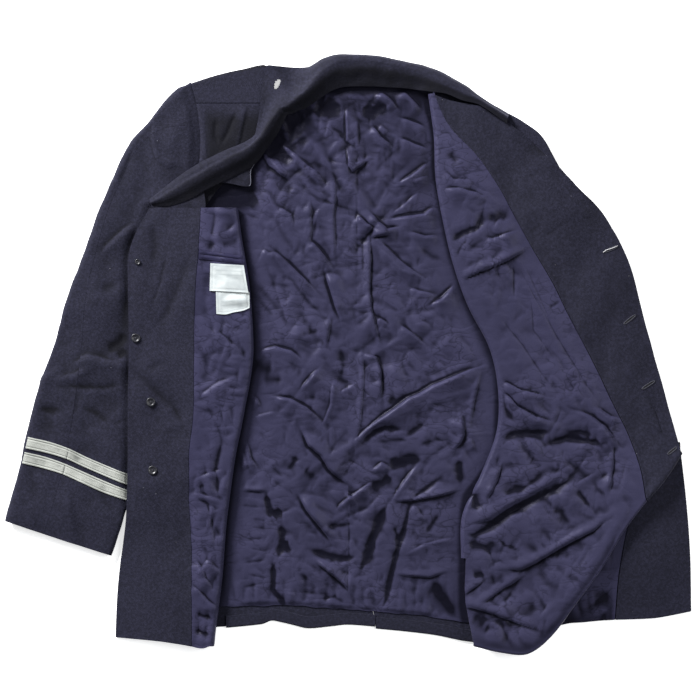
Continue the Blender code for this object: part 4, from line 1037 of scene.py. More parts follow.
# Heights of the left front's wool at its fold, over the side seam, over the sleeve's outer edge
# and at the front edge, on what lies under it
LEFT_REST = Table("photo_y fold_z side_z out_x out_z edge_z", [
    (95, 13.8, 12.4, 470, 11.6, 10.4), (141, 13.8, 11.8, 528, 10.6, 10.2),
    (175, 13.8, 11.4, 560, 10.2, 10.0), (190, 13.8, 11.2, 569, 10.2, 8.0),
    (215, 13.8, 11.2, 579, 10.2, 2.4), (250, 13.8, 11.2, 590, 10.4, 1.4),
    (300, 13.8, 11.4, 602, 10.4, 1.3), (420, 13.8, 11.4, 630, 10.4, 1.3),
    (520, 13.8, 11.4, 653, 10.4, 1.3), (565, 13.8, 11.2, 660, 10.2, 1.3),
    (590, 11.6, 10.8, 650, 10.0, 1.3), (604, 9.8, 9.8, 598, 7.6, 1.3),
    (616, 8.8, 8.8, 592, 2.0, 1.3), (660, 8.8, 8.8, 590, 1.6, 1.3)])
LEFT_TOP_EDGE = Table("across photo_y", [
    (0, 94), (0.1, 91.5), (0.3, 97), (0.5, 102), (0.8, 107), (0.9, 112), (1, 136)])
# The pleat across the lower corner: where its edge shows, how deep it turns under and the hem
LEFT_PLEAT = Table("across edge_y depth hem_y hem_x", [
    (0, 643, 10, 634, 470), (0.1, 648, 14, 634, 490), (0.2, 653, 18, 636, 512),
    (0.3, 649, 20, 634, 533), (0.36, 636, 21, 630, 544), (0.43, 624, 22, 624, 558),
    (0.5, 600, 24, 623.5, 570), (0.6, 570, 26, 622.5, 584), (0.7, 534, 26, 621.5, 597),
    (0.8, 505, 26, 620.5, 610), (0.9, 480, 25, 619, 651), (1, 453, 8, 612, 692)])
PLEAT_LIFT = 2 * PLEAT_OUTER_RADIUS + 2 * PLEAT_INNER_RADIUS


def fold_left(photo_y):
    return FRONT_LEFT.at("fold_x", photo_y)


def rest_height(photo_x, photo_y):
    """The height of the left front's wool on what lies under it."""
    row = {name: LEFT_REST.at(name, photo_y) for name in LEFT_REST.values}
    fold_x = fold_left(photo_y) + 5
    edge_x = FRONT_LEFT.at("edge_x", photo_y)
    side_x = fold_x + 0.55 * (row["out_x"] - fold_x)
    return through((fold_x, side_x, row["out_x"], edge_x),
                   (row["fold_z"], row["side_z"], row["out_z"], row["edge_z"]), photo_x)


def left_across(zone, across, photo_y):
    fold_x = fold_left(photo_y) + FOLD_OUTER / PIXEL
    seam_x = FRONT_LEFT.at("seam_x", photo_y)
    edge_x = FRONT_LEFT.at("edge_x", photo_y)
    start, end = (fold_x, seam_x) if zone == 0 else (seam_x, edge_x)
    return start + (end - start) * across


def left_pleat_row(zone, across):
    """Where a column of the left front meets the pleat's edge, found along the column."""
    low, high = 300.0, 660.0
    for _ in range(40):
        photo_y = (low + high) / 2
        x = left_across(zone, across, photo_y)
        share = (x - fold_left(photo_y)) / (FRONT_LEFT.at("edge_x", photo_y) - fold_left(photo_y))
        if LEFT_PLEAT.at("edge_y", share) > photo_y:
            low = photo_y
        else:
            high = photo_y
    return photo_y, share


def left_column(zone, across):
    """One column, from the collar to the hem, through both turns of the pleat."""
    pleat_y, share = left_pleat_row(zone, across)
    top_share = {0: across * 0.25, 1: 0.25 + across * 0.75}[zone]
    top_y = LEFT_TOP_EDGE.at("photo_y", top_share)
    depth = LEFT_PLEAT.at("depth", share)
    hem_y = LEFT_PLEAT.at("hem_y", share)
    hem_x = LEFT_PLEAT.at("hem_x", share)
    edge_x = left_across(zone, across, pleat_y)
    column = []
    inner = PLEAT_INNER_RADIUS / PIXEL
    outer = PLEAT_OUTER_RADIUS / PIXEL
    for part in np.linspace(0, 1, UPPER_ROWS):
        photo_y = top_y + (pleat_y - inner - top_y) * part
        x = left_across(zone, across, photo_y)
        lift = PLEAT_LIFT * blend(1 - (pleat_y - inner - photo_y) / 64)
        column.append(point(x, photo_y, rest_height(x, photo_y) + lift))
    ground = rest_height(edge_x, pleat_y - inner)
    for angle in np.radians((60, 120, 180)):
        column.append(point(edge_x, pleat_y - inner + inner * np.sin(angle),
                            ground + PLEAT_LIFT - PLEAT_INNER_RADIUS * (1 - np.cos(angle))))
    back_y = pleat_y - depth
    middle = ground + 2 * PLEAT_OUTER_RADIUS
    column.append(point(edge_x, (pleat_y + back_y) / 2, middle))
    for angle in np.radians((0, 60, 120, 180)):
        column.append(point(edge_x, back_y - outer * np.sin(angle),
                            middle - PLEAT_OUTER_RADIUS * (1 - np.cos(angle))))
    for part in (0.33, 0.66, 1):
        photo_y = back_y + (hem_y - back_y) * part
        x = edge_x + (hem_x - edge_x) * (1 - (1 - part)**2)
        low = rest_height(x, photo_y)
        column.append(point(x, photo_y, ground + (low - ground) * blend(part)))
    return column


LINING_COLUMNS = 7
UPPER_ROWS = 14
LAST_WRAPPED_ROW = 11

SHOULDER_RIGHT = Table("photo_y right_x height", [
    (103.4, 258, 7.2), (120, 256, 6.4), (137, 252, 6.0), (160, 240, 6.4), (185, 222, 6.6),
    (205, 205, 6.2), (228, 200, 5.6)])

COLLAR = Table(
    "station outer_x outer_y foot_z roll_x roll_y roll_z inner_x inner_y inner_z lie", [
        (0, 262.5, 82, 9.4, 280, 109, 20, 287, 115, 15, 1),
        (1, 266, 66.3, 9.4, 287, 106, 21, 294, 113, 14, 1),
        (2, 277, 66, 9, 291, 103, 21, 298, 111, 13, 1),
        (3, 288, 66.5, 3, 297, 98, 21, 306, 108, 12, 0.9),
        (4, 300, 67, 0.8, 306, 91, 21, 315, 102, 11, 0.6),
        (5, 310, 66, 0.8, 314, 82, 20, 322, 97, 10, 0.3),
        (6, 323, 58, 0.8, 324, 72, 20, 331, 91, 9, 0.1),
        (7, 338, 54, 0.8, 338, 64, 19, 342, 87, 8, 0),
        (8, 355, 54, 0.8, 355, 62, 18, 356, 86, 7.5, 0),
        (9, 373, 55, 0.8, 373, 63, 18, 373, 86, 7.5, 0),
        (10, 391, 58, 0.8, 390, 66, 18, 388, 87, 8, 0),
        (11, 410, 62, 0.8, 408, 70, 18, 405, 88, 9, 0),
        (12, 424, 65, 0.8, 421, 74, 18, 418, 90, 11, 0),
        (13, 438, 70, 0.8, 434, 79, 19, 430, 92, 16, 0),
        (14, 452, 77, 0.8, 448, 86, 19.5, 446, 94.5, 18, 0),
        (15, 467, 86, 0.8, 463, 93, 19.5, 462, 101, 18, 0.1),
        (16, 483, 98, 0.8, 480, 101, 19, 480, 106, 17.8, 0.2),
        (17, 509.4, 113.4, 0.8, 507.5, 118, 18, 506.5, 124, 17, 0.4)])
LAPEL = Table("station outer_x outer_y roll_x roll_y roll_z inner_x inner_y inner_z lie", [
    (0, 150, 199.5, 151, 203, 16, 153, 206, 13, 0.3),
    (1, 165, 187, 168, 195, 19, 172, 205.5, 14, 0.3),
    (2, 180, 176, 184, 185, 20, 190, 199, 14, 0.3), (3, 195, 166, 199, 176, 21, 206, 190, 13, 0.3),
    (4, 210, 158, 214, 167, 21, 224, 181, 12, 0.3), (5, 225, 151, 230, 159, 21, 240, 173, 11, 0.3),
    (6, 241, 144, 246, 151, 21, 256, 163, 11, 0.4), (7, 254, 136, 260, 139, 21, 268, 147, 11, 0.6),
    (8, 257, 126, 265, 131, 21, 276, 136, 12, 0.8), (9, 260, 107, 271, 121, 21, 281, 127, 13, 1),
    (10, 261.8, 82.4, 279.3, 109.4, 20, 286.3, 115.4, 15, 1)])


def rolled_section(row, foot_z):
    """One section over a roll, from its outer foot to its inner edge."""
    outer = np.array([row["outer_x"], row["outer_y"]])
    roll = np.array([row["roll_x"], row["roll_y"]])
    inner = np.array([row["inner_x"], row["inner_y"]])
    peak, low, lie = row["roll_z"], row["inner_z"], row["lie"]
    section = []
    standing = ((0.0, 0.1), (0.1, 0.5), (0.35, 0.83), (0.7, 0.97), (1.0, 1.0))
    lying = ((0.0, 0.0), (0.18, 0.02), (0.36, 0.06), (0.64, 0.3), (1.0, 1.0))
    for stand, flat in zip(standing, lying):
        along = stand[0] + (flat[0] - stand[0]) * lie
        rise = stand[1] + (flat[1] - stand[1]) * lie
        section.append(point(*(outer + (roll - outer) * along), foot_z + (peak - foot_z) * rise))
    for along, fall in ((0.35, 0.22), (0.7, 0.7), (1.0, 1.0)):
        section.append(point(*(roll + (inner - roll) * along), peak + (low - peak) * fall))
    return section


def table_rows(table, stations):
    return [{name: table.at(name, station) for name in table.values} for station in stations]

SLEEVE_RIGHT = Table("station outer_x outer_y inner_x inner_y bow hind", [
    (0, 190, 82, 175.3, 232, 15.5, 0.3), (1, 171, 98.5, 170, 236, 8, 0.2),
    (2, 151, 121, 167.5, 241, 3, 0.1), (3, 132, 144, 165.5, 247, 0, 0.08),
    (4, 118, 172, 164, 256, 0, 0.08), (5, 104, 203, 162, 272, 0, 0.08),
    (6, 88, 250, 160, 300, 0, 0.1), (7, 71, 293, 157, 335, 0, 0.17),
    (8, 58, 335, 153.5, 374, 0, 0.25), (9, 44, 378, 148.5, 418, 0, 0.31),
    (10, 30, 430, 142, 471, 0, 0.34), (11, 20, 475, 124, 513, 0, 0.36),
    (12, 9, 522, 109, 555, -2, 0.37)])
SLEEVE_LEFT = Table("station outer_x outer_y inner_x inner_y bow hind", [
    (0, 508.7, 113, 524.7, 234, -8, 0.3), (1, 524, 122, 528, 238, -5, 0.2),
    (2, 541, 135, 531, 243, -2, 0.1), (3, 553, 155, 534, 252, 0, 0.08),
    (4, 564, 177, 537.5, 265, 0, 0.08), (5, 575, 208, 540, 285, 0, 0.08),
    (6, 588, 250, 542, 310, 0, 0.1), (7, 600, 300, 546, 345, 0, 0.17),
    (8, 614, 355, 550.5, 390, 0, 0.25), (9, 627, 410, 555, 437, 0, 0.31),
    (10, 639, 465, 559, 487, 0, 0.34), (11, 650, 520, 562, 541, 0, 0.36),
    (12, 657, 569, 564, 589, 0, 0.37)])
FORE_SEAM = 0.82


def sleeve_place(table, station, across):
    """The photograph's place at a share of the way across a section of a sleeve."""
    row = {name: table.at(name, station) for name in table.values}
    start = np.array([row["outer_x"], row["outer_y"]])
    end = np.array([row["inner_x"], row["inner_y"]])
    place = start + (end - start) * across
    place[0] += 4 * row["bow"] * across * (1 - across)
    return place


def sleeve_section(table, station, way, top_from, bottom_from, right_side):
    """A run round the flattened tube, on the side of it away from or next to the body."""
    half = (SLEEVE_HEIGHT - SLEEVE_WALL) / 2
    middle = SLEEVE_HEIGHT / 2
    start = sleeve_place(table, station, 0)
    end = sleeve_place(table, station, 1)
    radius = half / PIXEL / np.linalg.norm(end - start)
    run = []
    edge = 1 - radius if right_side else radius
    outward = 1 if right_side else -1
    for share in np.linspace(0, 1, 3 if right_side else 7)[:-1]:
        across = bottom_from + (edge - bottom_from) * share
        run.append(point(*sleeve_place(table, station, across), middle - half))
    for angle in np.radians((-90, -30, 30, 90)):
        across = edge + outward * radius * np.cos(angle)
        run.append(point(*sleeve_place(table, station, across), middle + half * np.sin(angle)))
    for share in np.linspace(0, 1, 7 if right_side else 3)[1:]:
        across = edge + (top_from - edge) * share
        run.append(point(*sleeve_place(table, station, across), middle + half))
    return run[::-1] if (way > 0) == right_side else run


# The back

def hem_points(photo_x, hem_y):
    """The end of a column of the back, round the hem to the cut edge inside."""
    turned = [point(photo_x, hem_y + (out - HEM_RADIUS) / PIXEL, BACK_Z + up)
              for out, up in half_turn(HEM_RADIUS, HEM_STEPS)[1:]]
    return turned + [point(photo_x, hem_y - HEM_DEPTH / PIXEL, BACK_Z + 2 * HEM_RADIUS)]


def back_sheets():
    """The back's halves, turned up at the hem, the right one also turned over the shoulder."""
    seam_half = SEAM_GAP / 2 / PIXEL
    shoulder_turn = half_turn(SHOULDER_RADIUS, SHOULDER_STEPS)
    hem_y_before = HEM_RADIUS / PIXEL
    columns = []
    for across in RIGHT_TOP.steps:
        top_y = RIGHT_TOP.at("photo_y", across)
        hem_y = RIGHT_HEM.at("photo_y", between(149, 376, across))

        def back_x(photo_y):
            seam_x = CENTRE_SEAM.at("x", photo_y) - seam_half
            return between(back_edge_right(photo_y), seam_x, across)

        column = [point(back_x(photo_y), photo_y, SHOULDER_Z) for photo_y in OVER_SHOULDER_ROWS]
        column += [point(back_x(top_y), top_y + (SHOULDER_RADIUS - out) / PIXEL, BACK_Z + up)
                   for out, up in reversed(shoulder_turn)]
        column += [point(back_x(photo_y), photo_y, BACK_Z)
                   for photo_y in (*ARMHOLE_ROWS, *SIDE_ROWS, hem_y - hem_y_before)]
        columns.append(column + hem_points(back_x(hem_y), hem_y))
    right = np.array(columns).transpose(1, 0, 2)[:, ::-1]
    right_cells = np.ones((right.shape[0] - 1, right.shape[1] - 1), bool)
    right_cells[:2 + len(shoulder_turn), :-3] = False
    right_cells[-HEM_STEPS - 1:, -2:] = False
    columns = []
    for across in np.linspace(0, 1, 7):
        top_y = LEFT_TOP.at("photo_y", between(348, 508, across))
        hem_y = LEFT_HEM.at("photo_y", between(376, 560, across))

        def back_x(photo_y):
            seam_x = CENTRE_SEAM.at("x", photo_y) + seam_half
            return between(seam_x, back_edge_left(photo_y), across)

        column = [point(back_x(photo_y), photo_y, BACK_Z)
                  for photo_y in (top_y, *ARMHOLE_ROWS[1:], *SIDE_ROWS, hem_y - hem_y_before)]
        columns.append(column + hem_points(back_x(hem_y), hem_y))
    left = np.array(columns).transpose(1, 0, 2)[:, ::-1]
    return Cloth(right, 4, 4, right_cells), Cloth(left, 4, 7)


def make_back(wool):
    """The back's two halves."""
    for name, sheet in zip(("right", "left"), back_sheets()):
        sheet.layer("back_wool_" + name, WOOL, wool, "wool", replaces=["back_" + name])


# The back lining

def lining_room(photo_x, photo_y, reach):
    """1 where the lining lies open, falling to 0 over the reach where the fronts cover it."""
    from_right = (photo_x - fold_right(photo_y) - 3) / reach
    from_left = (fold_left(photo_y) - 3 - photo_x) / reach
    from_neck = (photo_y - 88) / 9
    from_hem = (LINING_HEM.at("photo_y", photo_x) - photo_y) / 5
    return blend(np.minimum(np.minimum(from_right, from_left), np.minimum(from_neck, from_hem)))


def back_lining_height(photo_x, photo_y, laid):
    """The lining's height, which the wool under it keeps from falling below a level."""
    by_hem = blend((photo_y - 560) / 40)
    height = (crumple(photo_x, photo_y, BACK_CRUMPLE) + 2.5) * (1 - 0.3 * by_hem)
    height *= lining_room(photo_x, photo_y, 34)
    puckers = (0.6 + 1.6 * noise(photo_x / 7, photo_y / 30, 39)) * by_hem
    height += ((0.3 + 1.3 * np.maximum(laid, 0) + 0.55 * np.minimum(laid, 0) + puckers)
               * lining_room(photo_x, photo_y, 12))
    return BACK_LINING_Z + np.log1p(np.exp(np.minimum(1.6 * height, 40))) / 1.6 - 0.43


def cover_shade(photo_x, photo_y):
    """Painted shade on the back lining where the fronts, the collar and the lapel lie over it, and
    darker towards the top.
    """
    by_right = blend(1 - (photo_x - fold_right(photo_y)) / 7) * blend((photo_y - 200) / 20)
    gap_left = 5 + 6 * np.exp(-((photo_y - 345) / 34)**2)
    by_left = blend(1 - (fold_left(photo_y) - photo_x) / gap_left)
    by_neck = 0.9 * blend((124 - photo_y) / 30)
    by_lapel = blend((176 - photo_y - 0.5 * (photo_x - 268)) / 26) * blend((330 - photo_x) / 30)
    cavity_shade = blend((214 - photo_y) / 12) * blend((262 - photo_x) / 14)
    top_shade = 0.42 * blend((226 - photo_y) / 60)
    return 1.5 * by_right + 1.3 * by_left + np.maximum(
        1.6 * np.maximum(by_neck, np.maximum(by_lapel, cavity_shade)), top_shade)


def make_back_lining(satin):
    """The lining's halves, with most of their columns where they lie open."""
    for name, change, counts, top_xs, hem_xs in (
            ("right", 0.36, (12, 100), (200, LINING_SEAM), (156, LINING_SEAM)),
            ("left", 0.78, (122, 9), (LINING_SEAM, 500), (LINING_SEAM, 550))):
        across = np.concatenate([np.linspace(0, change, counts[0])[:-1],
                                 np.linspace(change, 1, counts[1])])[None, :]
        top_y = LINING_TOP.at("photo_y", between(*top_xs, across))
        hem_y = (LINING_HEM.at("photo_y", between(*hem_xs, across))
                 + 1.3 * noise(across * 14 + 3, across, 43))
        photo_y = between(top_y, hem_y, np.linspace(0, 1, LINING_ROWS)[:, None])
        if name == "right":
            start, end = side_right(photo_y) + LINING_INSET, LINING_SEAM + 0.2
        else:
            start, end = LINING_SEAM, side_left(photo_y) - LINING_INSET
        photo_x = between(start, end, across)
        laid = creases(photo_x, photo_y, BACK_LINING_CREASES)
        height = back_lining_height(photo_x, photo_y, laid)
        sheet = Cloth(np.moveaxis(point(photo_x, photo_y, height), 0, 2)[::-1])
        # Painted shade under the covering pieces and in the troughs of the laid creases.
        sheet.shade = cover_shade(sheet.x, sheet.y) + 0.30 * np.maximum(-laid[::-1], 0)
        sheet.layer("back_satin_" + name, LINING, satin, "lining", backed=True,
                    replaces=["back_lining_" + name], rests_on=["back_" + name])


# The side panels

def make_side_panels(wool, right_return, left_return):
    """The side panels, from the roll at the back's edge to each front's hidden edge."""
    turn = half_turn(SIDE_RADIUS, 5)
    for name, side, way, edge in (("right", side_right, 1, right_return),
                                  ("left", side_left, -1, left_return)):
        rows = []
        edge_ys = np.sort(CENTRE_Y - edge[:, 1] / PIXEL)
        first_y, last_y = SIDE_ROWS[0], SIDE_ROWS[-1]
        middle_ys = edge_ys[(edge_ys > first_y + 4) & (edge_ys < last_y - 4)]
        for photo_y in (first_y, *middle_ys, last_y):
            seam_x = side(photo_y) + way * (SIDE_RADIUS + WOOL / 2) / PIXEL
            inner_x = return_x(edge, photo_y) - way
            row = [point(seam_x - way * out / PIXEL, photo_y, BACK_Z + up) for out, up in turn]
            row += [point(between(seam_x, inner_x, part), photo_y, SIDE_Z)
                    for part in (0.33, 0.66, 1.0)]
            rows.append(row)
        points = np.array(rows) if way > 0 else np.array(rows)[::-1, ::-1]
        Cloth(points, 2, 2).layer("side_wool_" + name, WOOL, wool, "wool",
                                  replaces=["side_panel_" + name])


def return_x(edge, photo_y):
    """The photograph's x of a front's hidden edge, from the points along that edge."""
    photo_xs, photo_ys = edge[:, 0] / PIXEL + CENTRE_X, CENTRE_Y - edge[:, 1] / PIXEL
    order = np.argsort(photo_ys)
    return np.interp(photo_y, photo_ys[order], photo_xs[order])


# The right front

def front_right_net():
    """The right front's middle, from its edge over the turned fold to its hidden edge."""
    turn = half_turn(FOLD_RADIUS, 6)
    stations = [("facing", across) for across in (0, 0.2, 0.4, 0.6, 0.8, 1)]
    stations += [("lining", across) for across in (0.25, 0.5, 0.75, 1)]
    rows = []
    for part in np.linspace(0, 1, 19):
        points = []
        for zone, across in stations:
            hem_x = 115 + 77 * across if zone == "facing" else 192 + 22 * across
            photo_y = between(FRONT_RIGHT_TOP_Y, FRONT_RIGHT_HEM.at("photo_y", hem_x), part)
            seam_x = FRONT_RIGHT.at("seam_x", photo_y)
            flat_x = fold_right(photo_y) - FOLD_OUTER / PIXEL
            if zone == "facing":
                photo_x = between(FRONT_RIGHT.at("edge_x", photo_y), seam_x, across)
            else:
                photo_x = between(seam_x, flat_x, across)
            points.append(point(photo_x, photo_y, front_right_height(photo_x, photo_y)))
        points[-1][2] = FRONT_Z
        points += [point(flat_x + out / PIXEL, photo_y, SIDE_Z + up)
                   for out, up in reversed(turn[:-1])]
        end_x = fold_right(photo_y) - RETURN_LENGTH
        points += [point(between(flat_x, end_x, back), photo_y, SIDE_Z) for back in (0.5, 1)]
        rows.append(points)
    return np.array(rows)[::-1]


FRONT_RIGHT_TOP_Y = 208
FACING_COLUMNS = 5


def make_front_right(wool, satin):
    """The right front's wool, with the facing and the lining laid on it."""
    net = front_right_net()
    sheet = Cloth(net, 16, [8] * 5 + [8] * 4 + [4] * 6 + [2, 2])
    x, y = sheet.x, sheet.y
    open_x = np.clip((sheet.form[..., 2] - SIDE_Z - 3) / 3, 0, 1)
    lining = blend((x - FRONT_RIGHT.at("seam_x", y) + 2) / 14)
    laid = creases(x, y, FRONT_RIGHT_CREASES)
    from_edge = blend((x - FRONT_RIGHT.at("edge_x", y)) / 10)
    heights = laid + swells(x, y, FACING_RIGHT_SWELLS) * (1 - lining) * from_edge
    calm = blend((fold_right(y) - x) / 7)
    heights += lining * calm * (crumple(x, y, FRONT_RIGHT_CRUMPLE) + 0.8)
    sheet.lift(heights * open_x)
    # Painted shade in the troughs of the laid creases.
    sheet.shade = 0.24 * np.maximum(-laid, 0) * open_x
    sheet.layer("front_right_wool", WOOL, wool, "wool", replaces=["front_right"], step=2,
                held="folded", rests_on=["side_panel_right", "sleeve_right_top"])
    facing = sheet.layer("facing_right_wool", WOOL, wool, "wool", out=FACING_OUT,
                         last=FACING_COLUMNS, trim_last=SEAM_GAP / 2, backed=True,
                         replaces=["facing_right"], rests_on=["front_right"])
    inner = sheet.layer("front_satin_right", LINING, satin, "lining", out=LINING_OUT,
                        first=FACING_COLUMNS, trim_first=SEAM_GAP / 2, backed=True,
                        replaces=["front_lining_right"], held="folded", rests_on=["front_right"])
    return net[:, -1], facing, inner


# The left front

def left_net():
    """The left front's middle, from its hidden edge over the fold to its outer edge."""
    turn = half_turn(FOLD_RADIUS, 6)
    columns = [left_column(0, across) for across in np.linspace(0, 1, LINING_COLUMNS + 1)]
    columns += [left_column(1, across) for across in (0.2, 0.4, 0.6, 0.8, 1)]
    first = columns[0]
    turned = [[near + np.array([-out, 0, up - 2 * FOLD_RADIUS]) for near in first]
              for out, up in turn[:-1]]
    reach = RETURN_LENGTH * PIXEL - FOLD_OUTER
    under = [[near + np.array([reach * back, 0, -2 * FOLD_RADIUS]) for near in first]
             for back in (1, 0.5)]
    points = np.array(under + turned + columns).transpose(1, 0, 2)
    cells = np.ones((points.shape[0] - 1, points.shape[1] - 1), bool)
    wrapped = len(under) + len(turned)
    cells[LAST_WRAPPED_ROW:, :wrapped] = False
    return points[::-1], cells[::-1], wrapped


def make_front_left(wool, satin):
    """The left front's wool, pleated below, with the lining and the facing laid on it."""
    net, cells, wrapped = left_net()
    seam = wrapped + LINING_COLUMNS
    upper = [22] * (UPPER_ROWS - 1)
    row_counts = upper + [4] * 3 + [6] * 2 + [4] * 3 + [8] * 3
    column_counts = [2] * 2 + [4] * 6 + [18] * LINING_COLUMNS + [12] * 5
    sheet = Cloth(net, row_counts[::-1], column_counts, cells)
    x, y = sheet.x, sheet.y
    rows = np.arange(x.shape[0])[:, None]
    first_upper = sheet.row_starts[len(row_counts) - len(upper)]
    on_top = blend((rows - first_upper) / 9.0)
    from_fold = x - fold_left(y) - 2
    right_of_fold = blend(from_fold / 8)
    lining = blend((FRONT_LEFT.at("seam_x", y) - x + 1) / 26) * blend(from_fold / 26)
    facing = blend((x - FRONT_LEFT.at("seam_x", y) + 1) / 6)
    laid = creases(x, y, FRONT_LEFT_CREASES)
    heights = (1.15 * np.maximum(laid, 0) + 0.7 * np.minimum(laid, 0)) * right_of_fold
    calm = 0.5 * np.exp(-((x - 530) / 60)**2 - ((y - 320) / 55)**2)
    heights += lining * (1 - calm) * (crumple(x, y, FRONT_LEFT_CRUMPLE) + 2.6)
    heights += facing * swells(x, y, FACING_LEFT_SWELLS)
    on_flap = blend((22 - rows) / 8.0) * blend((x - 552) / 8) * blend((612 - x) / 6)
    sheet.lift(heights * on_top + on_flap * (crumple(x, y, FLAP_CRUMPLE) + 0.4))
    # Painted shade on the lower flap under the pleat and in the troughs of the laid creases.
    sunk = np.maximum(-laid, 0) * on_top * right_of_fold
    sheet.shade = 1.1 * (1 - on_top) * blend((616 - x) / 5) + 0.24 * sunk
    sheet.layer("front_left_wool", WOOL, wool, "wool", replaces=["front_left"], step=2,
                held="folded", rests_on=["side_panel_left", "sleeve_left_top"])
    inner = sheet.layer("front_satin_left", LINING, satin, "lining", out=LINING_OUT, last=seam,
                        trim_last=5 * SEAM_GAP, backed=True, replaces=["front_lining_left"],
                        held="folded", rests_on=["front_left"])
    facing = sheet.layer("facing_left_wool", WOOL, wool, "wool", out=FACING_OUT, first=seam,
                         trim_first=SEAM_GAP, backed=True, replaces=["facing_left"],
                         held="folded", rests_on=["front_left"])
    return net[-1 - LAST_WRAPPED_ROW:, 0], inner, facing


# The shoulders, outer side up

def make_shoulders(wool, left_return):
    """The stretch of each front that stays outer side up."""
    rows = []
    for photo_y in np.linspace(103.2, 228, 8):
        start = armhole_right(photo_y) - 0.2
        end = SHOULDER_RIGHT.at("right_x", photo_y) + 12 * blend((165 - photo_y) / 25)
        height = SHOULDER_RIGHT.at("height", photo_y)
        rows.append([point(between(start, end, across), photo_y,
                           height + 0.6 * across * (1 - across)
                           - (1 - across) * (height - 6.9) * 0.8)
                     for across in np.linspace(0, 1, 6)])
    sheet = Cloth(np.array(rows)[::-1], 10, 10)
    x, y = sheet.x, sheet.y
    from_armhole = x - armhole_right(y)
    sheet.points[..., 2] -= 2.0 * np.exp(-(from_armhole / 1.6)**2)
    sheet.lift((creases(x, y, SHOULDER_CREASES) + swells(x, y, SHOULDER_SWELLS))
               * blend(from_armhole / 10))
    # Painted shade over the shoulder, deepening away from the armhole.
    sheet.shade = 3.1 * blend((y - 104) / 20) * blend(from_armhole / 12)
    sheet.layer("shoulder_wool_right", WOOL, wool, "wool", replaces=["front_right_shoulder"],
                rests_on=["back_right"])
    rows = []
    for photo_y in np.linspace(128, 232, 6):
        start = return_x(left_return, photo_y) + 1.0
        end = armhole_left(photo_y) - ARMHOLE_REACH
        rows.append([point(between(start, end, across), photo_y, SIDE_Z + 1.2 * across)
                     for across in np.linspace(0, 1, 4)])
    Cloth(np.array(rows)[::-1], 4, 4).layer("shoulder_wool_left", WOOL, wool, "wool",
                                            replaces=["front_left_shoulder"],
                                            rests_on=["back_left"])


# The collar, the lapel and the hanger loop

COLLAR_HOLE = (277.2, 84)


def in_collar_hole(photo_x, photo_y):
    """Whether a place lies in the gaping hole at the collar's right end, a leaning oval."""
    up = photo_y - COLLAR_HOLE[1]
    lean_x = photo_x - COLLAR_HOLE[0] + 0.35 * up
    return (lean_x / 2.7)**2 + (up / 5.0)**2 <= 1


def make_collar_and_lapel(wool):
    """The rolled collar, the hanger loop inside it and the lapel's roll that runs into it."""
    collar_rows = table_rows(COLLAR, COLLAR.steps)
    points = np.array([rolled_section(row, row["foot_z"]) for row in collar_rows])[::-1]
    sheet = Cloth(points, 9, 9)
    x, y = sheet.x, sheet.y
    sheet.cells &= ~in_collar_hole((x[1:, 1:] + x[:-1, :-1]) / 2, (y[1:, 1:] + y[:-1, :-1]) / 2)
    sheet.lift(swells(x, y, COLLAR_SWELLS) + creases(x, y, COLLAR_CREASES))
    columns = np.arange(sheet.form.shape[1])[None, :]
    # Painted shade on the collar's inner side, beyond its roll.
    sheet.shade = 2.8 * blend((columns - sheet.starts[4]) / 10.0) * np.ones_like(x)
    sheet.layer("collar_wool", WOOL, wool, "wool", replaces=["collar"], held="folded",
                rests_on=["back_right", "back_left"])
    start, stop = (sheet.row_starts[len(collar_rows) - 1 - station] for station in (10, 8))
    loop = Cloth(sheet.points[start:stop + 1, sheet.starts[5]:sheet.starts[6] + 1])
    loop.layer("hanger_loop_tape", LINING, wool, "wool", out=WOOL / 2 + 0.4 + LINING / 2,
               replaces=["hanger_loop"], held="hung", rests_on=["collar"])
    lapel_rows = table_rows(LAPEL, LAPEL.steps)
    lapel_rows[-1].update({name: collar_rows[0][name]
                           for name in lapel_rows[-1] if name != "station"})
    points = np.array([rolled_section(row, LAPEL_FOOT_Z) for row in lapel_rows])[::-1]
    sheet = Cloth(points, 9, 6)
    x, y = sheet.x, sheet.y
    sheet.lift(swells(x, y, LAPEL_SWELLS) + creases(x, y, LAPEL_CREASES))
    columns = np.arange(sheet.form.shape[1])[None, :]
    # Painted shade: a little over the whole lapel, more on its inner side beyond the roll.
    sheet.shade = (0.7 + 2.2 * blend((columns - sheet.starts[4] - 1) / 10.0)) * np.ones_like(x)
    sheet.layer("lapel_wool", WOOL, wool, "wool", replaces=["lapel_right"], held="folded",
                rests_on=["front_right_shoulder"])


# near_x near_y far_x far_y height
FACING_TOP = (
    (151, 206, 152, 210, 12.4), (172, 196, 203, 210, 12.6), (188, 186, 205, 185, 10.4),
    (208, 175, 226, 183, 9.4), (228, 163, 249, 186, 9.0), (244, 153, 251, 170, 9.0),
    (256, 142, 260, 156, 9.2), (264, 133, 267, 138, 9.6))


def make_facing_top(wool):
    """The right facing's upper end, which lies under the lapel with a frayed edge."""
    rows = [[point(between(near_x, far_x, across), between(near_y, far_y, across),
                   height + 1.2 * across * (1 - across)) for across in (0, 0.33, 0.66, 1)]
            for near_x, near_y, far_x, far_y, height in FACING_TOP]
    sheet = Cloth(np.array(rows), 8, 8)
    sheet.lift(swells(sheet.x, sheet.y, FACING_TOP_SWELLS))
    # Painted shade over the whole piece, which lies under the lapel.
    sheet.shade = np.full(sheet.x.shape, 1.6)
    sheet.layer("facing_right_top_wool", WOOL, wool, "wool", replaces=["facing_right"],
                rests_on=["front_right_shoulder"])
    edge = sheet.points[sheet.row_starts[4]:, -1] + np.array([0, 0, WOOL / 2])
    frayed = edge + 0.4 * np.stack([noise(np.arange(len(edge)) * 0.9, np.full(len(edge), k), 94)
                                    for k in range(3)], 1)
    tube("facing_fray", frayed, 0.45, thread_material("frayed_threads", (0.10, 0.10, 0.14)))


# The sleeves

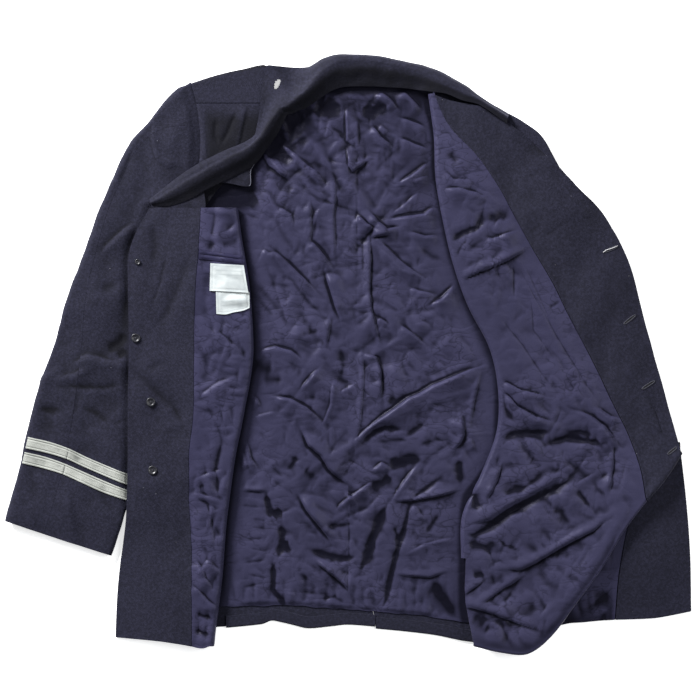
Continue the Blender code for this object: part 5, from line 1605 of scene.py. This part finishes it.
def make_sleeves(wool):
    """Both sleeves; the left one lies hidden, so it has fewer points and no creases."""
    made = {}
    for name, table, way in (("right", SLEEVE_RIGHT, 1), ("left", SLEEVE_LEFT, -1)):
        visible = name == "right"
        for piece, right_side in (("top", True), ("under", False)):
            rows = []
            for station in table.steps:
                start, end = sleeve_place(table, station, 0), sleeve_place(table, station, 1)
                gap = SEAM_GAP / 2 / PIXEL / np.linalg.norm(end - start)
                gap = gap if right_side else -gap
                hind = table.at("hind", station) + gap
                rows.append(sleeve_section(table, station, way, hind, FORE_SEAM + gap, right_side))
            sheet = Cloth(np.array(rows)[::-1], *((15, 5) if visible else (6, 3)))
            up = blend((sheet.form[..., 2] - SLEEVE_HEIGHT / 2) / 1.5)
            if visible:
                x, y = sheet.x, sheet.y
                open_x = np.where(y < 205, blend((armhole_right(y) - 2 - x) / 10),
                                  blend((FRONT_RIGHT.at("edge_x", y) - 1 - x) / 7))
                laid = creases(x, y, SLEEVE_RIGHT_CREASES)
                # Painted shade in the troughs of the laid creases.
                sheet.shade = 0.45 * np.maximum(-laid, 0) * up
                sheet.lift((swells(x, y, SLEEVE_SWELLS, 3.4) + laid) * up * open_x)
            showing = visible and right_side
            tucked = (((-1, 2.2, 2.6), (-2, 0.6, 1.2)) if showing
                      else ((-1, 1.6, 1.0), (-2, 0.4, 0.3)))
            for row, drop, reach in tucked:
                sheet.points[row, :, 2] -= drop * up[row]
                sheet.points[row, :, 0] += reach * way
            made[name, piece] = sheet.layer(
                f"sleeve_wool_{name}_{piece}", SLEEVE_WALL, wool, "wool",
                replaces=[f"sleeve_{name}_{piece}"])
    return made["right", "top"], made["right", "under"]


# Trim, labels, buttons and buttonholes

def strip_places(upper, lower, columns, rows):
    """A grid of places between two lines of places."""
    across = np.linspace(0, 1, columns + 1)
    edges = []
    for line in (upper, lower):
        steps = np.linspace(0, 1, len(line))
        edges.append(np.stack([through(steps, [place[k] for place in line], across)
                               for k in (0, 1)], 1))
    return between(*edges, np.linspace(0, 1, rows + 1)[:, None, None])


def laid_sheet(places, top, out, stiff=0):
    """A sheet lying over what is under it; a stiff one bridges the small creases."""
    rows, columns = places.shape[:2]
    points = top.over(places.reshape(-1, 2)).reshape(rows, columns, 3)
    height = points[..., 2]
    for _ in range(stiff):
        padded = np.pad(height, 1, mode="edge")
        height = (padded[:-2, 1:-1] + padded[2:, 1:-1] + padded[1:-1, :-2] + padded[1:-1, 2:]
                  + 2 * padded[1:-1, 1:-1]) / 6
    if stiff:
        height = height + np.percentile(points[..., 2] - height, 92)
    points[..., 2] = height + out
    return Cloth(points[::-1])


def braid_relief(share):
    """The braid's section: a cord along each edge, a groove beside it and a flat middle."""
    from_edge = np.minimum(share, 1 - share)
    cord = 0.35 * np.exp(-((from_edge - 0.07) / 0.06)**2)
    groove = -0.5 * np.exp(-((from_edge - 0.17) / 0.035)**2)
    ridge = 0.2 * np.exp(-((share - 0.3) / 0.05)**2)
    return cord + groove + ridge


BRAID_LINES = {
    "upper": (((28.3, 437), (48, 441.5), (67, 447.8), (86, 457), (107, 465.7), (131, 475.5)),
              ((25.8, 448), (46, 452.5), (64.5, 458), (84.5, 467), (105.5, 476), (130, 486))),
    "lower": (((24.9, 452), (44, 456.5), (62.5, 462.8), (83.5, 472), (104.5, 481), (129, 491)),
              ((22.2, 463), (41, 467.5), (60, 473), (80, 481.7), (101.5, 491.5), (126, 500)))}


def make_braids(top):
    """Two braids round the right cuff, each with the joint of its ends as a slanting groove."""
    silver = braid_material()
    rows, columns, joint_x = 30, 100, 66.6
    for name, lines in BRAID_LINES.items():
        places = strip_places(*lines, columns, rows)
        sheet = laid_sheet(places, top, BRAID_THICKNESS / 2 + 0.1, 3)
        share = np.linspace(1, 0, rows + 1)[:, None] + np.zeros((1, columns + 1))
        slant = (places[::-1, :, 0] - joint_x) + (places[::-1, :, 1] - 457) * 0.22
        sheet.lift(braid_relief(share) - 0.8 * np.exp(-(slant / 0.45)**2))
        sheet.layer("braid_trim_" + name, BRAID_THICKNESS, silver, "braid",
                    replaces=["braid_" + name], rests_on=["sleeve_right_top"])


def make_pocket(top):
    """The inside breast pocket's mouth: two lips with a slit between them."""
    jet = satin_material("pocket_jetting", (0.012, 0.011, 0.026), (0.018, 0.017, 0.040), 0.5)
    rows, columns = 20, 60
    mouth = strip_places(((199.5, 249.3), (222, 252.6), (244.5, 256.2)),
                         ((198.8, 259), (222, 261.6), (244.5, 264)), columns, rows)
    sheet = laid_sheet(mouth, top, LINING / 2 + 0.1, 6)
    across = np.linspace(0, 1, columns + 1)[None, :]
    down = np.linspace(1, 0, rows + 1)[:, None]
    lips = 0.9 * np.exp(-((down - 0.28) / 0.17)**2) + 0.9 * np.exp(-((down - 0.74) / 0.18)**2)
    ends = blend(across / 0.14) * blend((1 - across) / 0.2)
    sheet.lift(lips * (0.35 + 0.65 * ends) - 0.5 * np.exp(-((down - 0.5) / 0.05)**2) * ends)
    sheet.layer("pocket_jetting", LINING, jet, "lining", replaces=["inside_pocket"],
                rests_on=["front_lining_right"])


# name, upper edge, lower edge, places of the rules, height of the curl, height over the lining
LABELS = (
    ("lower", ((216.2, 290), (233, 291), (249.5, 292)),
     ((216.8, 314), (225, 314.6), (234, 312.5), (243, 310.8), (249.8, 308)),
     (0.36, 0.52), 0.3, 0.1),
    ("upper", ((210.8, 263.4), (228, 264.6), (244, 265.4)),
     ((210, 291), (230, 291.8), (248.6, 293)), (0.62, 0.76, 0.88), 0.5, 0.9))


def make_labels(top):
    """Two bare woven labels, each with an edge line and plain rules."""
    tape = label_material()
    rows, columns = 44, 56
    for name, upper, lower, stations, curl, over in LABELS:
        places = strip_places(upper, lower, columns, rows)
        sheet = laid_sheet(places, top, LABEL_THICKNESS / 2 + over, 14)
        down = np.linspace(1, 0, rows + 1)[:, None]
        across = np.linspace(0, 1, columns + 1)[None, :]
        edge = np.minimum(np.minimum(down, 1 - down) * 28, np.minimum(across, 1 - across) * 36)
        sheet.lift(curl * blend(1 - edge / 1.5) * blend((across + down - 0.6) / 0.9)
                   - 0.25 * np.exp(-((edge - 2.6) / 0.5)**2))
        made = sheet.layer("label_tape_" + name, LABEL_THICKNESS, tape, "label",
                           replaces=["label_" + name], rests_on=["front_lining_right"])
        inside = blend((across - 0.14) / 0.02) * blend((0.93 - across) / 0.02)
        bars = (sum(np.exp(-((1 - down - station) / 0.014)**2) for station in stations)
                * inside * 0.5)
        line = np.exp(-((edge - 2.3) / 0.35)**2) * 0.4
        values = np.tile((bars + line).ravel(), 2)[:len(made.data.vertices)]
        made.data.attributes.new("rule", "FLOAT", "POINT").data.foreach_set(
            "value", values.astype(np.float32))


BUTTON_PLACES = ((138, 262), (136, 338), (151, 402), (153, 470))
BUTTON_SIDES = 40
BUTTON_PROFILE = (  # share of the radius, height
    (0.0, 1.0), (0.34, 1.0), (0.52, 1.05), (0.62, 1.45), (0.74, 1.9), (0.86, 2.1), (0.95, 2.0),
    (1.0, 1.6), (1.0, 0.9), (0.93, 0.3), (0.8, 0.0))
BUTTON_THREAD = ((-0.26, 0.8), (-0.2, 1.25), (0, 1.55), (0.2, 1.25), (0.26, 0.8))


def make_buttons(top):
    """Round backing buttons with a rim, a dished face and crossed thread."""
    plastic = plastic_material()
    thread = thread_material("button_thread", (0.016, 0.016, 0.026))
    profile, sides = BUTTON_PROFILE, BUTTON_SIDES
    angles = np.linspace(0, 2 * np.pi, sides, endpoint=False)
    for number, (x, y) in enumerate(BUTTON_PLACES, 1):
        spot, normal = top.at(x, y)
        centre = spot + normal * 0.2
        radius = BUTTON_DIAMETER / 2 * (0.62 if number == 1 else 1.0)
        side = np.cross(normal, [0.0, 1.0, 0.0])
        side /= np.linalg.norm(side)
        ahead = np.cross(normal, side)
        places = [centre + normal * profile[0][1]]
        for reach, height in profile[1:]:
            places += [centre + normal * height
                       + radius * reach * (side * np.cos(angle) + ahead * np.sin(angle))
                       for angle in angles]
        places.append(centre)
        last = len(places) - 1
        rings = len(profile) - 1
        faces = [(0, 1 + k, 1 + (k + 1) % sides) for k in range(sides)]
        for ring in range(rings - 1):
            low, high = 1 + ring * sides, 1 + (ring + 1) * sides
            faces += [(low + k, high + k, high + (k + 1) % sides, low + (k + 1) % sides)
                      for k in range(sides)]
        lowest = 1 + (rings - 1) * sides
        faces += [(lowest + k, last, lowest + (k + 1) % sides) for k in range(sides)]
        mesh = bpy.data.meshes.new(f"backing_button_{number}")
        mesh.from_pydata((np.array(places) / 1000).tolist(), [], faces)
        mesh.shade_smooth()
        mesh.set_sharp_from_angle(angle=math.radians(50))
        made = bpy.data.objects.new(mesh.name, mesh)
        finish_piece(made, plastic, [f"button_{number}"])
        for index, turn in enumerate((45, 135)):
            way = side * math.cos(math.radians(turn)) + ahead * math.sin(math.radians(turn))
            strand = [centre + normal * height + way * radius * reach
                      for reach, height in BUTTON_THREAD]
            tube(f"button_thread_{number}_{index}", strand, 0.42, thread)


BUTTONHOLES = (  # from x, y to x, y
    (604, 252, 618, 246), (624, 324, 636, 315), (642, 389, 655, 381), (667, 454, 676, 447))
BASTING_END = ((603, 252.5), (606, 250.2), (610, 248.9), (614, 247.4), (618, 245.6))


def make_buttonholes(top):
    """Worked buttonholes: a bead of close stitches round a slit, which is a near-black strand of
    painted shade.
    """
    thread = thread_material("buttonhole_twist", (0.020, 0.020, 0.034))
    # A near-black thread material standing in for the shade in the slits.
    dark = thread_material("slit_shade", (0.002, 0.002, 0.003))
    pale = thread_material("basting_thread", (0.66, 0.66, 0.68))
    for number, (x0, y0, x1, y1) in enumerate(BUTTONHOLES, 1):
        start, way = np.array([x0, y0], float), np.array([x1 - x0, y1 - y0], float)
        length = np.linalg.norm(way)
        way /= length
        side = np.array([-way[1], way[0]])
        ring = []
        for angle in np.linspace(0, 2 * np.pi, 72, endpoint=False):
            along = length / 2 * (1 + np.sign(np.cos(angle)) * abs(np.cos(angle))**0.6)
            ring.append(start + way * along + side * 1.15 * np.sin(angle))
        spots = top.over(ring, 0.25)
        radii = 0.62 + 0.14 * np.sin(np.arange(len(ring)) * np.pi)
        radii[::2] += 0.14
        tube(f"buttonhole_{number}", spots, radii, thread, closed=True)
        # The slit: a flattened near-black strand of painted shade.
        slit_shade = top.over([start + way * length * part for part in np.linspace(0.04, 0.96, 9)], 0.05)
        tube(f"buttonhole_slit_{number}", slit_shade, 0.75, dark, flat=0.35)
    tube("basting_end", top.over(BASTING_END, 1.1), 0.42, pale)


# Room, light and camera, in metres

FLOOR_REACH = 4
LIGHTS = (("key", (-2.2, 2.4, 1.55), 1.0, 400), ("fill", (2.2, 0.4, 2.0), 1.8, 52))
CAMERA_HEIGHT = 2.6
CLOTH_HEIGHT = 0.01
SENSOR_WIDTH = 36.0
PHOTO_SIZE = 700


def make_room():
    """A pale floor, a dim world, a key light from the upper left and a fill light."""
    floor_mesh = bpy.data.meshes.new("floor")
    reach = FLOOR_REACH
    floor_mesh.from_pydata([(-reach, -reach, 0), (reach, -reach, 0), (reach, reach, 0),
                            (-reach, reach, 0)], [], [(0, 1, 2, 3)])
    floor = bpy.data.objects.new("floor", floor_mesh)
    bpy.context.scene.collection.objects.link(floor)
    pale, _, shader = new_material("pale floor", 0.9)
    shader.inputs["Base Color"].default_value = rgb(0.92, 0.92, 0.92)
    shader.inputs["Emission Color"].default_value = rgb(1, 1, 1)
    shader.inputs["Emission Strength"].default_value = 0.6
    floor_mesh.materials.append(pale)
    world = bpy.data.worlds.new("studio")
    world.use_nodes = True
    world.node_tree.nodes["Background"].inputs["Color"].default_value = rgb(0.95, 0.98, 1)
    world.node_tree.nodes["Background"].inputs["Strength"].default_value = 0.28
    bpy.context.scene.world = world
    for name, place, size, power in LIGHTS:
        light = bpy.data.lights.new(name, "AREA")
        light.size = size
        light.energy = power
        lamp = bpy.data.objects.new(name, light)
        lamp.location = place
        lamp.rotation_euler = (-Vector(place)).to_track_quat("-Z", "Y").to_euler()
        bpy.context.scene.collection.objects.link(lamp)
    bpy.context.scene.view_settings.view_transform = "Standard"


def make_camera():
    """Straight over the jacket, at the photograph's framing."""
    camera = bpy.data.cameras.new("camera")
    frame_width = PHOTO_SIZE * PIXEL / 1000
    camera.sensor_width = SENSOR_WIDTH
    camera.lens = SENSOR_WIDTH * (CAMERA_HEIGHT - CLOTH_HEIGHT) / frame_width
    view = bpy.data.objects.new("camera", camera)
    middle = PHOTO_SIZE / 2
    view.location = ((middle - CENTRE_X) * PIXEL / 1000, (CENTRE_Y - middle) * PIXEL / 1000,
                     CAMERA_HEIGHT)
    bpy.context.scene.collection.objects.link(view)
    bpy.context.scene.camera = view


def main():
    wool = wool_material("wool_barathea", (0.0062, 0.0062, 0.0128), (0.0090, 0.0090, 0.0175))
    satin = satin_material("lining_satin", (0.0185, 0.0180, 0.037), (0.0285, 0.0272, 0.056), 0.4)
    make_room()
    make_camera()
    make_back(wool)
    make_back_lining(satin)
    right_return, facing_right, satin_right = make_front_right(wool, satin)
    left_return, satin_left, facing_left = make_front_left(wool, satin)
    make_side_panels(wool, right_return, left_return)
    make_shoulders(wool, left_return)
    make_collar_and_lapel(wool)
    make_facing_top(wool)
    sleeve_top, sleeve_under = make_sleeves(wool)
    on_sleeve, on_right = Top(sleeve_top, sleeve_under), Top(satin_right, facing_right)
    on_left = Top(satin_left, facing_left)
    make_braids(on_sleeve)
    make_pocket(on_right)
    make_labels(on_right)
    make_buttons(Top(facing_right))
    make_buttonholes(on_left)


main()
